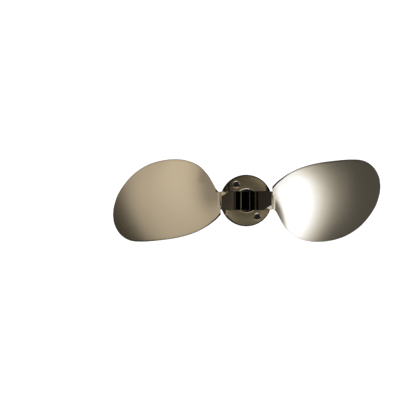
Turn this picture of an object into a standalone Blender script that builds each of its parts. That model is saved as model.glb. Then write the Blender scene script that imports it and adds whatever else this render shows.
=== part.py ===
# Two-blade folding propeller for a yacht's sail drive, blades open, standing on the forward end of its hub.
# Metres, +Z aft along the shaft, +X along one open blade, origin at the centre of the forward face.
# A blade's pressure face looks aft, and a right-hand propeller turns clockwise seen from aft.

import math

import bmesh
import bpy
from mathutils import Matrix, Vector

MM = 0.001
GAP = 0.3 * MM

# Driving dimensions
PROPELLER_RADIUS = 203.2 * MM
PITCH = 230 * MM
HUB_LENGTH = 97 * MM
HUB_RADIUS = 39 * MM
HUB_WAIST_RADIUS = 39.8 * MM
HUB_WAIST_HEIGHT = 46 * MM
HUB_AFT_RADIUS = 38.4 * MM
HUB_RIM_ROUND = 0.8 * MM
ANODE_HEIGHT = 11 * MM

# Pivots: one pin a blade, both across the shaft, half the gear centre distance off the shaft's axis
PIVOT_OFFSET = 16 * MM
PIVOT_BELOW_FACE = 18.5 * MM
PIVOT_HEIGHT = HUB_LENGTH - PIVOT_BELOW_FACE
PIN_RADIUS = 5 * MM
PIN_LENGTH = 66 * MM
PIN_TAPPING_RADIUS = 2.1 * MM
PIN_TAPPING_DEPTH = 9 * MM
RUNNING_CLEARANCE = 0.05 * MM

# Slot through the hub for the blade roots, and the stops under their arms
SLOT_WIDTH = 29 * MM
SLOT_DEPTH = 13.6 * MM
ROOT_WIDTH = 28 * MM
ROOT_BLANK = 28.2 * MM
ROOT_END = 38.6 * MM
ARM_TOP = 13.5 * MM
ARM_BOTTOM = 13.3 * MM
ARM_TOP_START = 4.2 * MM
CORNER_CUT_START = 26.6 * MM
CORNER_CUT_END = 6.5 * MM
CORNER_CUT_DOWN = (0.35, -0.6, -0.6)
HUB_SWING_RADIUS = 22.2 * MM
BLADE_SWING_RADIUS = 23 * MM
FILLET_START = 37 * MM
FILLET_END = 45 * MM
FILLET_LEADING_RISE = 9 * MM
FILLET_TRAILING_RISE = 3 * MM
FILLET_SUNK = 0.35 * MM
FILLET_DEPTH = 5 * MM
FILLET_STEPS = 5
FILLET_POINTS = 8

# Gear teeth on the roots, which make both blades fold together. An angle counts up from the mating pivot.
TEETH_A_TURN = 12
TOP_TOOTH_LEFT = 95
TOP_TOOTH_RIGHT = 80
GEAR_TIP_RADIUS = 18.1 * MM
GEAR_ROOT_RADIUS = 13.3 * MM
GEAR_PRESSURE_ANGLE = math.radians(25)
GEAR_BACKLASH = 0.5 * MM
FLANK_POINTS = 5
GEAR_POCKET_RADIUS = 19.1 * MM

# Bore from aft, its nut seat, and the socket from forward for the drive sleeve
BORE_RADIUS = 17.5 * MM
BORE_CHAMFER_WIDTH = 1.1 * MM
BORE_CHAMFER_DEPTH = 0.9 * MM
SEAT_TOP = 42 * MM
SEAT_BOTTOM = 38 * MM
SEAT_HOLE_RADIUS = 12.5 * MM
SOCKET_RADIUS = 22 * MM

# Drive from the shaft: a splined sleeve in a rubber ring, held by a washer and a nut
SLEEVE_RADIUS = 16 * MM
SPLINES = 15
SPLINE_TIP_RADIUS = 10.5 * MM
SPLINE_ROOT_RADIUS = 12.3 * MM
SLEEVE_BOTTOM = 12 * MM
RUBBER_BOTTOM = 13.5 * MM
RUBBER_HOLES = 10
RUBBER_HOLE_RADIUS = 1.6 * MM
WASHER_RADIUS = 16.6 * MM
WASHER_HOLE_RADIUS = 10.8 * MM
WASHER_THICKNESS = 2.5 * MM
NUT_ACROSS_FLATS = 29 * MM
NUT_HOLE_RADIUS = 10 * MM
NUT_TOP = 58 * MM

# Anode ring in two halves on the forward face, and its screws
ANODE_INNER_RADIUS = 24 * MM
ANODE_SPLIT = 0.8 * MM
ANODE_SCREW_CIRCLE = 30.8 * MM
ANODE_SCREW_ANGLES = (45, 135, 225, 315)
ANODE_SCREW_RADIUS = 3 * MM
ANODE_SCREW_END = 25 * MM
ANODE_HEAD_RADIUS = 5 * MM
ANODE_HEAD_BOTTOM = 0.8 * MM
ANODE_HEAD_TOP = 5.5 * MM

# Lock screws that hold the pins
SCREW_RADIUS = 4 * MM
SCREW_FROM_CENTRE = 24.5 * MM
SCREW_RECESS = 3.5 * MM
COUNTERSINK_WIDTH = 1.6 * MM
COUNTERSINK_DEPTH = 0.75 * MM
HEX_KEY_RADIUS = 2.3 * MM
HEX_KEY_DEPTH = 4 * MM

# Blade: plan outline as (radial, tangential) points in millimetres, trailing edge positive, root to tip
LEADING_EDGE = [(39.2, -11), (46, -18), (52, -28.9), (60, -41.5), (75, -55.6), (98, -63.2), (125, -62.5),
                (152, -54.3), (176, -37.2), (194, -13), (201.4, 7), (203.2, 21.5)]
TRAILING_EDGE = [(39.2, 21.5), (45.6, 28.3), (52, 33.5), (64, 41.7), (82, 50.2), (106, 56.9), (134, 60.9),
                 (160, 62.7), (178, 60.5), (192, 51.2), (200.6, 36.6), (203.2, 21.5)]
BLADE_START = LEADING_EDGE[0][0] * MM
FACE_RAKE = 13.3 * MM
RAKE_START = 35 * MM
RAKE_END = 150 * MM
ROOT_THICKNESS = 13 * MM
TIP_THICKNESS = 3 * MM
EDGE_THICKNESS = 2.2 * MM
ROOT_EDGE_THICKNESS = 5.5 * MM
THICK_EDGE_END = 68 * MM
EDGE_ROUNDING = 0.6 * MM
BLADE_RINGS = 29
CHORD_POINTS = 11

ROUND_STEPS = 64


# Scene and materials
def clear_scene():
    for obj in list(bpy.data.objects):
        bpy.data.objects.remove(obj)


def new_collection(name):
    collection = bpy.data.collections.new(name)
    bpy.context.scene.collection.children.link(collection)
    return collection


def new_material(name, colour, roughness, metallic):
    material = bpy.data.materials.new(name)
    material.use_nodes = True
    surface = material.node_tree.nodes["Principled BSDF"]
    surface.inputs["Base Color"].default_value = (*colour, 1)
    surface.inputs["Roughness"].default_value = roughness
    surface.inputs["Metallic"].default_value = metallic
    return material


# Shapes
def add_object(name, mesh, collection, material=None):
    obj = bpy.data.objects.new(name, mesh)
    collection.objects.link(obj)
    if material is not None:
        mesh.materials.append(material)
    return obj


def mesh_from(bm, name):
    bmesh.ops.recalc_face_normals(bm, faces=bm.faces)
    mesh = bpy.data.meshes.new(name)
    bm.to_mesh(mesh)
    bm.free()
    return mesh


def cylinder_mesh(name, radius, low, high, segments=ROUND_STEPS, top_radius=None):
    bm = bmesh.new()
    bmesh.ops.create_cone(
        bm, cap_ends=True, segments=segments, radius1=radius,
        radius2=radius if top_radius is None else top_radius, depth=high - low,
    )
    bmesh.ops.translate(bm, verts=bm.verts, vec=(0, 0, (low + high) / 2))
    return mesh_from(bm, name)


def box_mesh(name, low, high):
    bm = bmesh.new()
    bmesh.ops.create_cube(bm, size=1)
    low, high = Vector(low), Vector(high)
    bmesh.ops.scale(bm, verts=bm.verts, vec=high - low)
    bmesh.ops.translate(bm, verts=bm.verts, vec=(low + high) / 2)
    return mesh_from(bm, name)


def turned(name, profile, collection, material=None, steps=ROUND_STEPS):
    """A closed (radius, height) profile, given upwards on its outer side, turned about Z by a Screw modifier."""
    bm = bmesh.new()
    ring = [bm.verts.new((radius, 0, height)) for radius, height in reversed(profile)]
    for start, end in zip(ring, ring[1:] + ring[:1]):
        bm.edges.new((start, end))
    mesh = bpy.data.meshes.new(name)
    bm.to_mesh(mesh)
    bm.free()
    obj = add_object(name, mesh, collection, material)
    screw = obj.modifiers.new("turn", "SCREW")
    screw.steps = screw.render_steps = steps
    screw.use_merge_vertices = True
    screw.merge_threshold = 0.00001
    return obj


def extruded(name, points, half_depth):
    """A mesh of a flat outline in the XY plane, given a thickness of twice half_depth along Z."""
    curve = bpy.data.curves.new(name, "CURVE")
    curve.dimensions = "2D"
    curve.fill_mode = "BOTH"
    curve.extrude = half_depth
    spline = curve.splines.new("POLY")
    spline.points.add(len(points) - 1)
    for point, (x, y) in zip(spline.points, points):
        point.co = (x, y, 0, 1)
    spline.use_cyclic_u = True
    guide = bpy.data.objects.new(name, curve)
    bpy.context.scene.collection.objects.link(guide)
    graph = bpy.context.evaluated_depsgraph_get()
    mesh = bpy.data.meshes.new_from_object(guide.evaluated_get(graph))
    bpy.data.objects.remove(guide)
    bm = bmesh.new()
    bm.from_mesh(mesh)
    bmesh.ops.remove_doubles(bm, verts=bm.verts, dist=0.00001)
    return mesh_from(bm, name)


def combine(obj, other, operation="DIFFERENCE"):
    """Adds a Boolean of obj with other, which becomes a hidden helper."""
    other.hide_render = True
    other.display_type = "WIRE"
    boolean = obj.modifiers.new(other.name, "BOOLEAN")
    boolean.operation = operation
    boolean.object = other
    boolean.solver = "EXACT"


def rounded_corner(centre, radius, start, end, steps):
    """Points of an arc in a (radius, height) profile, angles in degrees."""
    angles = [math.radians(start + (end - start) * i / steps) for i in range(steps + 1)]
    return [(centre[0] + radius * math.cos(a), centre[1] + radius * math.sin(a)) for a in angles]


def place(mesh, matrix):
    mesh.transform(matrix)
    return mesh


ACROSS = Matrix.Rotation(math.pi / 2, 4, "X")


# Hub and what is fixed in it
def hub_radius_at(height):
    """Radius of the barrel, which is widest at its waist."""
    if height < HUB_WAIST_HEIGHT:
        share = (HUB_WAIST_HEIGHT - height) / (HUB_WAIST_HEIGHT - ANODE_HEIGHT)
        return HUB_WAIST_RADIUS + (HUB_RADIUS - HUB_WAIST_RADIUS) * share ** 2
    share = (height - HUB_WAIST_HEIGHT) / (HUB_LENGTH - HUB_RIM_ROUND - HUB_WAIST_HEIGHT)
    return HUB_WAIST_RADIUS + (HUB_AFT_RADIUS - HUB_WAIST_RADIUS) * share ** 2


def hub_profile():
    """Outside of the hub, bottom to top, with a rounded aft rim."""
    foot = ANODE_HEIGHT + GAP
    outside = [(HUB_RADIUS - 1.6 * MM, foot)]
    low, high, steps = foot + 1.2 * MM, HUB_LENGTH - HUB_RIM_ROUND, 8
    for step in range(steps):
        height = low + (high - low) * step / steps
        outside.append((hub_radius_at(height), height))
    centre = (HUB_AFT_RADIUS - HUB_RIM_ROUND, HUB_LENGTH - HUB_RIM_ROUND)
    return outside + rounded_corner(centre, HUB_RIM_ROUND, 0, 90, 3)


def swing_relief():
    """Side outline of what is cut off the aft rim for the blades to pass, heights and distances from a pivot."""
    angles = [math.radians(5 * step) for step in range(15)]
    arc = [(HUB_SWING_RADIUS * math.cos(angle), HUB_SWING_RADIUS * math.sin(angle)) for angle in angles]
    return arc + [(arc[-1][0], 2 * HUB_SWING_RADIUS), (2 * HUB_SWING_RADIUS, 2 * HUB_SWING_RADIUS),
                  (2 * HUB_SWING_RADIUS, 0)]


def lock_screw_spots():
    """(name, x, y) of each lock screw, over the pin that it holds."""
    return [("right", PIVOT_OFFSET, -SCREW_FROM_CENTRE), ("left", -PIVOT_OFFSET, SCREW_FROM_CENTRE)]


def make_hub(parts, cutters, bronze):
    inside = [
        (SEAT_HOLE_RADIUS, HUB_LENGTH), (SEAT_HOLE_RADIUS, SEAT_BOTTOM),
        (SOCKET_RADIUS, SEAT_BOTTOM), (SOCKET_RADIUS, ANODE_HEIGHT + GAP),
    ]
    hub = turned("hub", hub_profile() + inside, parts, bronze)

    bore = turned("bore_cutter", [
        (0.001 * MM, SEAT_TOP), (BORE_RADIUS, SEAT_TOP), (BORE_RADIUS, HUB_LENGTH - BORE_CHAMFER_DEPTH),
        (BORE_RADIUS + 2 * BORE_CHAMFER_WIDTH, HUB_LENGTH + BORE_CHAMFER_DEPTH),
        (0.001 * MM, HUB_LENGTH + BORE_CHAMFER_DEPTH),
    ], cutters)
    combine(hub, bore)

    reach = HUB_RADIUS * 1.2
    floor = PIVOT_HEIGHT - SLOT_DEPTH
    slot = add_object("slot_cutter", box_mesh(
        "slot_cutter", (-reach, -SLOT_WIDTH / 2, floor), (reach, SLOT_WIDTH / 2, HUB_LENGTH * 1.1),
    ), cutters)
    combine(hub, slot)

    for side, direction in (("right", 1), ("left", -1)):
        at_pivot = Matrix.Translation((direction * PIVOT_OFFSET, 0, PIVOT_HEIGHT)) @ ACROSS
        pocket = cylinder_mesh("pocket", GEAR_POCKET_RADIUS, -SLOT_WIDTH / 2, SLOT_WIDTH / 2)
        combine(hub, add_object(f"gear_pocket_{side}", place(pocket, at_pivot), cutters))
        hole = cylinder_mesh("pin_hole", PIN_RADIUS + RUNNING_CLEARANCE, -reach, reach, 40)
        combine(hub, add_object(f"pin_hole_{side}", place(hole, at_pivot), cutters))
        relief = place(extruded("relief", swing_relief(), reach), ACROSS)
        outwards = Matrix.Translation(at_pivot.translation) @ Matrix.Diagonal((direction, direction, 1, 1))
        combine(hub, add_object(f"relief_{side}", place(relief, outwards), cutters))

    for side, x, y in lock_screw_spots():
        radius = SCREW_RADIUS + GAP
        hole = turned(f"screw_hole_{side}", [
            (0.001 * MM, PIVOT_HEIGHT), (radius, PIVOT_HEIGHT), (radius, HUB_LENGTH - COUNTERSINK_DEPTH),
            (radius + 2 * COUNTERSINK_WIDTH, HUB_LENGTH + COUNTERSINK_DEPTH),
            (0.001 * MM, HUB_LENGTH + COUNTERSINK_DEPTH),
        ], cutters, steps=40)
        hole.location = (x, y, 0)
        combine(hub, hole)

    for number, spot in enumerate(anode_screw_spots(), 1):
        tapping = cylinder_mesh("tapping", ANODE_SCREW_RADIUS + GAP, 0, ANODE_SCREW_END + 1 * MM, 18)
        combine(hub, add_object(f"anode_tapping_{number}", place(tapping, spot), cutters))


def make_pins(parts, cutters, steel):
    for side, direction in (("right", 1), ("left", -1)):
        at_pivot = Matrix.Translation((direction * PIVOT_OFFSET, 0, PIVOT_HEIGHT)) @ ACROSS
        body = cylinder_mesh("pin", PIN_RADIUS, -PIN_LENGTH / 2, PIN_LENGTH / 2, 40)
        pin = add_object(f"pivot_pin_{side}", place(body, at_pivot), parts, steel)
        for end, sign in (("top", 1), ("bottom", -1)):
            inner = sign * (PIN_LENGTH / 2 - PIN_TAPPING_DEPTH)
            outer = sign * PIN_LENGTH
            low, high = min(inner, outer), max(inner, outer)
            hole = cylinder_mesh("tapping", PIN_TAPPING_RADIUS, low, high, 20)
            combine(pin, add_object(f"pin_tapping_{side}_{end}", place(hole, at_pivot), cutters))


def make_lock_screws(parts, cutters, steel):
    for side, x, y in lock_screw_spots():
        low = PIVOT_HEIGHT + PIN_RADIUS + GAP
        high = HUB_LENGTH - SCREW_RECESS
        spot = Matrix.Translation((x, y, 0))
        body = cylinder_mesh("lock_screw", SCREW_RADIUS, low, high, 32)
        screw = add_object(f"lock_screw_{side}", place(body, spot), parts, steel)
        key = cylinder_mesh("key", HEX_KEY_RADIUS, high - HEX_KEY_DEPTH, high + HEX_KEY_DEPTH, 6)
        combine(screw, add_object(f"hex_key_{side}", place(key, spot), cutters))


# Drive sleeve and its nut
def make_drive(parts, cutters, bronze, steel, rubber):
    top = SEAT_BOTTOM - GAP
    blank = cylinder_mesh("drive_sleeve", SLEEVE_RADIUS, SLEEVE_BOTTOM, top)
    sleeve = add_object("drive_sleeve", blank, parts, bronze)
    outline = []
    for tooth in range(SPLINES):
        for share, radius in ((0.04, SPLINE_TIP_RADIUS), (0.46, SPLINE_TIP_RADIUS),
                              (0.56, SPLINE_ROOT_RADIUS), (0.94, SPLINE_ROOT_RADIUS)):
            angle = 2 * math.pi * (tooth + share) / SPLINES
            outline.append((radius * math.cos(angle), radius * math.sin(angle)))
    splines = extruded("splines", outline, HUB_LENGTH / 2)
    combine(sleeve, add_object("spline_cutter", splines, cutters))

    ring = turned("damper_ring", [
        (SOCKET_RADIUS - GAP, RUBBER_BOTTOM), (SOCKET_RADIUS - GAP, top),
        (SLEEVE_RADIUS + GAP, top), (SLEEVE_RADIUS + GAP, RUBBER_BOTTOM),
    ], parts, rubber)
    for number in range(RUBBER_HOLES):
        spot = Matrix.Rotation(2 * math.pi * number / RUBBER_HOLES, 4, "Z")
        spot = spot @ Matrix.Translation(((SOCKET_RADIUS + SLEEVE_RADIUS) / 2, 0, 0))
        hole = cylinder_mesh("hole", RUBBER_HOLE_RADIUS, 0, HUB_LENGTH / 2, 14)
        combine(ring, add_object(f"rubber_hole_{number + 1}", place(hole, spot), cutters))

    washer_bottom = SEAT_TOP + GAP
    washer_top = washer_bottom + WASHER_THICKNESS
    turned("thrust_washer", [
        (WASHER_RADIUS, washer_bottom), (WASHER_RADIUS, washer_top),
        (WASHER_HOLE_RADIUS, washer_top), (WASHER_HOLE_RADIUS, washer_bottom),
    ], parts, steel)

    corner = NUT_ACROSS_FLATS / math.sqrt(3)
    nut_bottom = washer_top + GAP
    nut = add_object("shaft_nut", cylinder_mesh("shaft_nut", corner, nut_bottom, NUT_TOP, 6), parts, steel)
    flat = NUT_ACROSS_FLATS / 2
    slope = (corner - flat) * 0.6
    combine(nut, turned("nut_chamfer", [
        (0.001 * MM, nut_bottom - GAP), (flat, nut_bottom - GAP), (corner + GAP, nut_bottom + slope),
        (corner + GAP, NUT_TOP - slope), (flat, NUT_TOP + GAP), (0.001 * MM, NUT_TOP + GAP),
    ], cutters), "INTERSECT")
    hole = cylinder_mesh("hole", NUT_HOLE_RADIUS, 0, HUB_LENGTH, 48)
    combine(nut, add_object("nut_hole", hole, cutters))


# Anode ring and its screws
def anode_screw_spots():
    return [
        Matrix.Rotation(math.radians(angle), 4, "Z") @ Matrix.Translation((ANODE_SCREW_CIRCLE, 0, 0))
        for angle in ANODE_SCREW_ANGLES
    ]


def make_anode(parts, cutters, zinc, steel):
    edge = HUB_RADIUS - 0.4 * MM
    for side, direction in (("right", 1), ("left", -1)):
        half = turned(f"anode_half_{side}", [
            (edge - 1.6 * MM, 0), (edge - 0.5 * MM, 1.1 * MM), (edge, ANODE_HEIGHT),
            (ANODE_INNER_RADIUS, ANODE_HEIGHT), (ANODE_INNER_RADIUS, 0),
        ], parts, zinc)
        other = box_mesh("other_half", (
            min(direction * ANODE_SPLIT / 2, -direction * 2 * HUB_RADIUS), -2 * HUB_RADIUS, -HUB_RADIUS,
        ), (
            max(direction * ANODE_SPLIT / 2, -direction * 2 * HUB_RADIUS), 2 * HUB_RADIUS, HUB_RADIUS,
        ))
        combine(half, add_object(f"anode_cutter_{side}", other, cutters))
        for number, spot in enumerate(anode_screw_spots(), 1):
            if spot.translation.x * direction < 0:
                continue
            head = cylinder_mesh("head", ANODE_HEAD_RADIUS + GAP, -HUB_RADIUS, ANODE_HEAD_TOP + GAP, 24)
            shank = cylinder_mesh("shank", ANODE_SCREW_RADIUS + GAP, 0, HUB_RADIUS, 18)
            combine(half, add_object(f"anode_recess_{number}", place(head, spot), cutters))
            combine(half, add_object(f"anode_hole_{number}", place(shank, spot), cutters))

    for number, spot in enumerate(anode_screw_spots(), 1):
        screw = turned(f"anode_screw_{number}", [
            (0.001 * MM, ANODE_HEAD_BOTTOM), (ANODE_HEAD_RADIUS - 0.6 * MM, ANODE_HEAD_BOTTOM),
            (ANODE_HEAD_RADIUS, ANODE_HEAD_BOTTOM + 0.6 * MM), (ANODE_HEAD_RADIUS, ANODE_HEAD_TOP),
            (ANODE_SCREW_RADIUS, ANODE_HEAD_TOP), (ANODE_SCREW_RADIUS, ANODE_SCREW_END - 1 * MM),
            (ANODE_SCREW_RADIUS - 1 * MM, ANODE_SCREW_END), (0.001 * MM, ANODE_SCREW_END),
        ], parts, steel, 20)
        screw.matrix_world = spot
        key = cylinder_mesh("key", HEX_KEY_RADIUS * 1.25, -HUB_RADIUS, ANODE_HEAD_BOTTOM + 2.6 * MM, 6)
        combine(screw, add_object(f"anode_key_{number}", place(key, spot), cutters))


# Blades
def involute(angle):
    return math.tan(angle) - angle


def tooth_half_angle(radius):
    """Half the angle that a tooth spans at this radius about the pivot."""
    base = PIVOT_OFFSET * math.cos(GEAR_PRESSURE_ANGLE)
    thickness = math.pi * PIVOT_OFFSET / TEETH_A_TURN - GEAR_BACKLASH
    at_pitch = thickness / 2 / PIVOT_OFFSET
    return at_pitch + involute(GEAR_PRESSURE_ANGLE) - involute(math.acos(base / max(radius, base)))


def tooth_points(centre):
    """One tooth as (angle, radius), from its upper root corner to its lower one. Angles run up from the mating gear."""
    base = PIVOT_OFFSET * math.cos(GEAR_PRESSURE_ANGLE)
    radii = [GEAR_ROOT_RADIUS] + [
        base + (GEAR_TIP_RADIUS - base) * step / (FLANK_POINTS - 1) for step in range(FLANK_POINTS)
    ]
    flank = [(tooth_half_angle(radius), radius) for radius in radii]
    return [(centre + half, radius) for half, radius in flank] + [
        (centre - half, radius) for half, radius in reversed(flank)
    ]


def root_outline(tooth_angles):
    """Side outline of a blade's root about its pivot: gear teeth from the top round to the mate, boss and arm."""
    end = ROOT_END - PIVOT_OFFSET
    points = [(end, ARM_TOP), (ARM_TOP_START, ARM_TOP)]
    for centre in sorted(tooth_angles, reverse=True):
        for angle, radius in tooth_points(math.radians(centre)):
            points.append((-radius * math.cos(angle), radius * math.sin(angle)))
    lowest = math.radians(min(tooth_angles)) - tooth_half_angle(GEAR_ROOT_RADIUS)
    steps = 8
    for step in range(1, steps + 1):
        angle = lowest + (-math.pi / 2 - lowest) * step / steps
        points.append((-GEAR_ROOT_RADIUS * math.cos(angle), GEAR_ROOT_RADIUS * math.sin(angle)))
    points.append((end, -ARM_BOTTOM))
    return points


def smooth_curve(points, count):
    """count points along a Catmull-Rom curve through the given ones, closer together towards its end."""
    ends = [2 * points[0] - points[1], *points, 2 * points[-1] - points[-2]]
    made = []
    for index in range(count):
        share = 1 - (1 - index / (count - 1)) ** 1.5
        at = share * (len(points) - 1)
        span = min(int(at), len(points) - 2)
        t = at - span
        a, b, c, d = ends[span:span + 4]
        bend = (2 * a - 5 * b + 4 * c - d) * t ** 2 + (3 * b - a - 3 * c + d) * t ** 3
        made.append(0.5 * (2 * b + (c - a) * t + bend))
    return made


def face_point(x, y):
    """Point and unit normal of the pressure face, a true screw surface raked aft, heights from the pivots."""
    advance = PITCH / (2 * math.pi)
    share = min(max((x - RAKE_START) / (RAKE_END - RAKE_START), 0), 1)
    height = FACE_RAKE * math.sin(math.pi / 2 * share) + advance * math.atan2(y, x)
    rise = FACE_RAKE * math.pi / 2 / (RAKE_END - RAKE_START) * math.cos(math.pi / 2 * share) if share > 0 else 0
    slope_x = rise - advance * y / (x * x + y * y)
    slope_y = advance * x / (x * x + y * y)
    return Vector((x, y, height)), Vector((-slope_x, -slope_y, 1)).normalized()


def edge_thickness(x):
    share = min(max((x - BLADE_START) / (THICK_EDGE_END - BLADE_START), 0), 1)
    return ROOT_EDGE_THICKNESS + (EDGE_THICKNESS - ROOT_EDGE_THICKNESS) * share


def blade_ring(lead, trail):
    """One closed section. The thickness is square to the face, so the back stands out past its trailing edge."""
    normal = face_point(trail.x, trail.y)[1]
    trail = trail + edge_thickness(trail.x) * Vector((normal.x, normal.y))
    chord = (trail - lead).length
    span = min(max(((lead.x + trail.x) / 2 - BLADE_START) / (PROPELLER_RADIUS - BLADE_START), 0), 1)
    thickest = ROOT_THICKNESS + (TIP_THICKNESS - ROOT_THICKNESS) * math.sin(math.pi / 2 * span)
    rounding = min(EDGE_ROUNDING, chord / 4)
    distances = [(0, rounding), (rounding, 0)]
    for index in range(1, CHORD_POINTS):
        share = 0.5 - 0.5 * math.cos(math.pi * index / CHORD_POINTS)
        distances.append((rounding + (chord - 2 * rounding) * share, 0))
    distances += [(chord - rounding, 0), (chord, rounding)]
    face, back = [], []
    for distance, drop in distances:
        share = distance / chord
        spot = lead.lerp(trail, share)
        point, normal = face_point(spot.x, spot.y)
        edge = edge_thickness(spot.x)
        thickness = edge + max(thickest - edge, 0) * (4 * share * (1 - share)) ** 0.85
        face.append(point - drop * normal)
        back.append(point - (thickness - drop) * normal)
    return face + back[::-1]


def loft(rings, tip=None):
    """A closed mesh through rings of points, with a flat end, and a flat end or a point."""
    bm = bmesh.new()
    made = [[bm.verts.new(point) for point in ring] for ring in rings]
    for ring, following in zip(made, made[1:]):
        for i in range(len(ring)):
            j = (i + 1) % len(ring)
            bm.faces.new((ring[i], ring[j], following[j], following[i]))
    bm.faces.new(made[0])
    if tip is None:
        bm.faces.new(made[-1])
    else:
        end = bm.verts.new(tip)
        for i in range(len(made[-1])):
            bm.faces.new((made[-1][i], made[-1][(i + 1) % len(made[-1])], end))
    return mesh_from(bm, "loft")


def blade_mesh():
    """The blade without its root, lofted from root to tip on the +X side, heights from the pivots."""
    lead = smooth_curve([Vector(p) * MM for p in LEADING_EDGE], BLADE_RINGS)
    trail = smooth_curve([Vector(p) * MM for p in TRAILING_EDGE], BLADE_RINGS)
    point, normal = face_point(lead[-1].x, lead[-1].y)
    tip = point - normal * EDGE_THICKNESS / 2
    tip.x = PROPELLER_RADIUS
    return loft([blade_ring(start, end) for start, end in zip(lead[:-1], trail[:-1])], tip)


def fillet_mesh():
    """The fillet between the arm's end and the blade's face, highest on the leading side."""
    rings = []
    for step in range(FILLET_STEPS + 1):
        share = step / FILLET_STEPS
        x = FILLET_START + (FILLET_END - FILLET_START) * share
        top, bottom = [], []
        for index in range(FILLET_POINTS):
            across = index / (FILLET_POINTS - 1)
            y = ROOT_BLANK * (across - 0.5)
            face = face_point(x, y)[0].z
            rise = FILLET_LEADING_RISE + (FILLET_TRAILING_RISE - FILLET_LEADING_RISE) * across
            height = face + rise * (1 - share) ** 2 - FILLET_SUNK
            top.append(Vector((x, y, min(height, ARM_TOP - FILLET_SUNK))))
            bottom.append(Vector((x, y, max(face - FILLET_DEPTH, FILLET_SUNK - ARM_BOTTOM))))
        rings.append(top + bottom[::-1])
    return loft(rings)


def root_mesh(tooth_angles):
    """The root, whose corner on the leading side is cut back towards the blade."""
    mesh = place(extruded("root", root_outline(tooth_angles), ROOT_BLANK / 2), ACROSS)
    bm = bmesh.new()
    bm.from_mesh(mesh)
    corner_start = Vector((CORNER_CUT_START - PIVOT_OFFSET, -ROOT_BLANK / 2, ARM_TOP))
    corner_end = Vector((ROOT_END - PIVOT_OFFSET, -CORNER_CUT_END, ARM_TOP))
    normal = (corner_end - corner_start).cross(Vector(CORNER_CUT_DOWN)).normalized()
    if normal.z < 0:
        normal.negate()
    everything = bm.verts[:] + bm.edges[:] + bm.faces[:]
    cut = bmesh.ops.bisect_plane(
        bm, geom=everything, plane_co=corner_start, plane_no=normal, clear_outer=True,
    )["geom_cut"]
    bmesh.ops.contextual_create(bm, geom=[item for item in cut if isinstance(item, bmesh.types.BMEdge)])
    mesh = mesh_from(bm, "root")
    mesh.transform(Matrix.Translation((PIVOT_OFFSET, 0, 0)))
    return mesh


def make_blades(parts, cutters, bronze):
    """Each blade is on an empty at its pivot. The left one is turned half round, and its teeth half a tooth.

    Beside the root, a blade is cut back round its pivot, so that it passes the hub's rim as it folds.
    """
    for side, turn, top_tooth in (("right", 0, TOP_TOOTH_RIGHT), ("left", math.pi, TOP_TOOTH_LEFT)):
        teeth = [top_tooth - 360 / TEETH_A_TURN * i for i in range(4)]
        to_pivot = Matrix.Translation((-PIVOT_OFFSET, 0, 0))
        pivot = bpy.data.objects.new(f"pivot_{side}", None)
        parts.objects.link(pivot)
        pivot.location = (math.cos(turn) * PIVOT_OFFSET, 0, PIVOT_HEIGHT)
        pivot.rotation_euler = (0, 0, turn)
        blade = add_object(f"blade_{side}", place(blade_mesh(), to_pivot), parts, bronze)
        blade.parent = pivot
        root = add_object(f"root_{side}", place(root_mesh(teeth), to_pivot), cutters)
        root.parent = pivot
        combine(blade, root, "UNION")
        fillet = add_object(f"fillet_{side}", place(fillet_mesh(), to_pivot), cutters)
        fillet.parent = pivot
        combine(blade, fillet, "UNION")
        for edge, sign in (("leading", 1), ("trailing", -1)):
            near, far = sign * ROOT_WIDTH / 2, sign * 2 * ROOT_WIDTH
            swing = place(cylinder_mesh("swing", BLADE_SWING_RADIUS, min(near, far), max(near, far)), ACROSS)
            swing = add_object(f"swing_{side}_{edge}", swing, cutters)
            swing.parent = pivot
            combine(blade, swing)
        hole = cylinder_mesh("hole", PIN_RADIUS + RUNNING_CLEARANCE, -ROOT_WIDTH, ROOT_WIDTH, 40)
        bore = add_object(f"root_bore_{side}", place(hole, ACROSS), cutters)
        bore.parent = pivot
        combine(blade, bore)


def main():
    clear_scene()
    parts = new_collection("folding_propeller")
    cutters = new_collection("cutters")
    bronze = new_material("bronze", (0.62, 0.55, 0.42), 0.28, 1)
    steel = new_material("stainless_steel", (0.55, 0.55, 0.56), 0.3, 1)
    rubber = new_material("rubber", (0.03, 0.03, 0.03), 0.8, 0)
    zinc = new_material("anode_metal", (0.6, 0.61, 0.62), 0.55, 1)
    make_hub(parts, cutters, bronze)
    make_pins(parts, cutters, steel)
    make_lock_screws(parts, cutters, steel)
    make_drive(parts, cutters, bronze, steel, rubber)
    make_anode(parts, cutters, zinc, steel)
    make_blades(parts, cutters, bronze)


main()
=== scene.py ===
"""A folding boat propeller with its blades open, dressed for a picture taken from aft."""

import math

import bmesh
import bpy
from bpy.props import FloatProperty, FloatVectorProperty, IntProperty, PointerProperty
from mathutils import Matrix, Vector


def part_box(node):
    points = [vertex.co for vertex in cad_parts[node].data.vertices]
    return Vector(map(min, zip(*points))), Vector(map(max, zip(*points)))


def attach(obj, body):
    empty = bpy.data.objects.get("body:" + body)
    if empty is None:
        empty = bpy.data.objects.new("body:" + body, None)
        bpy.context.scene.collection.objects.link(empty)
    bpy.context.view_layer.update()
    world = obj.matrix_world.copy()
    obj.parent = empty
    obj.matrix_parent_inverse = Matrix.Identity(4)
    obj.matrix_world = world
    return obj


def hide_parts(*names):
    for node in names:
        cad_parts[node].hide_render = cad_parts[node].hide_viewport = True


bl_info = {
    "name": "Folding Boat Propeller",
    "version": (1, 0, 0),
    "blender": (4, 5, 0),
    "location": "3D View > Sidebar > Propeller",
    "description": "Builds a folding boat propeller with machined bronze, screws and a studio stage",
    "category": "Object",
}

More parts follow.
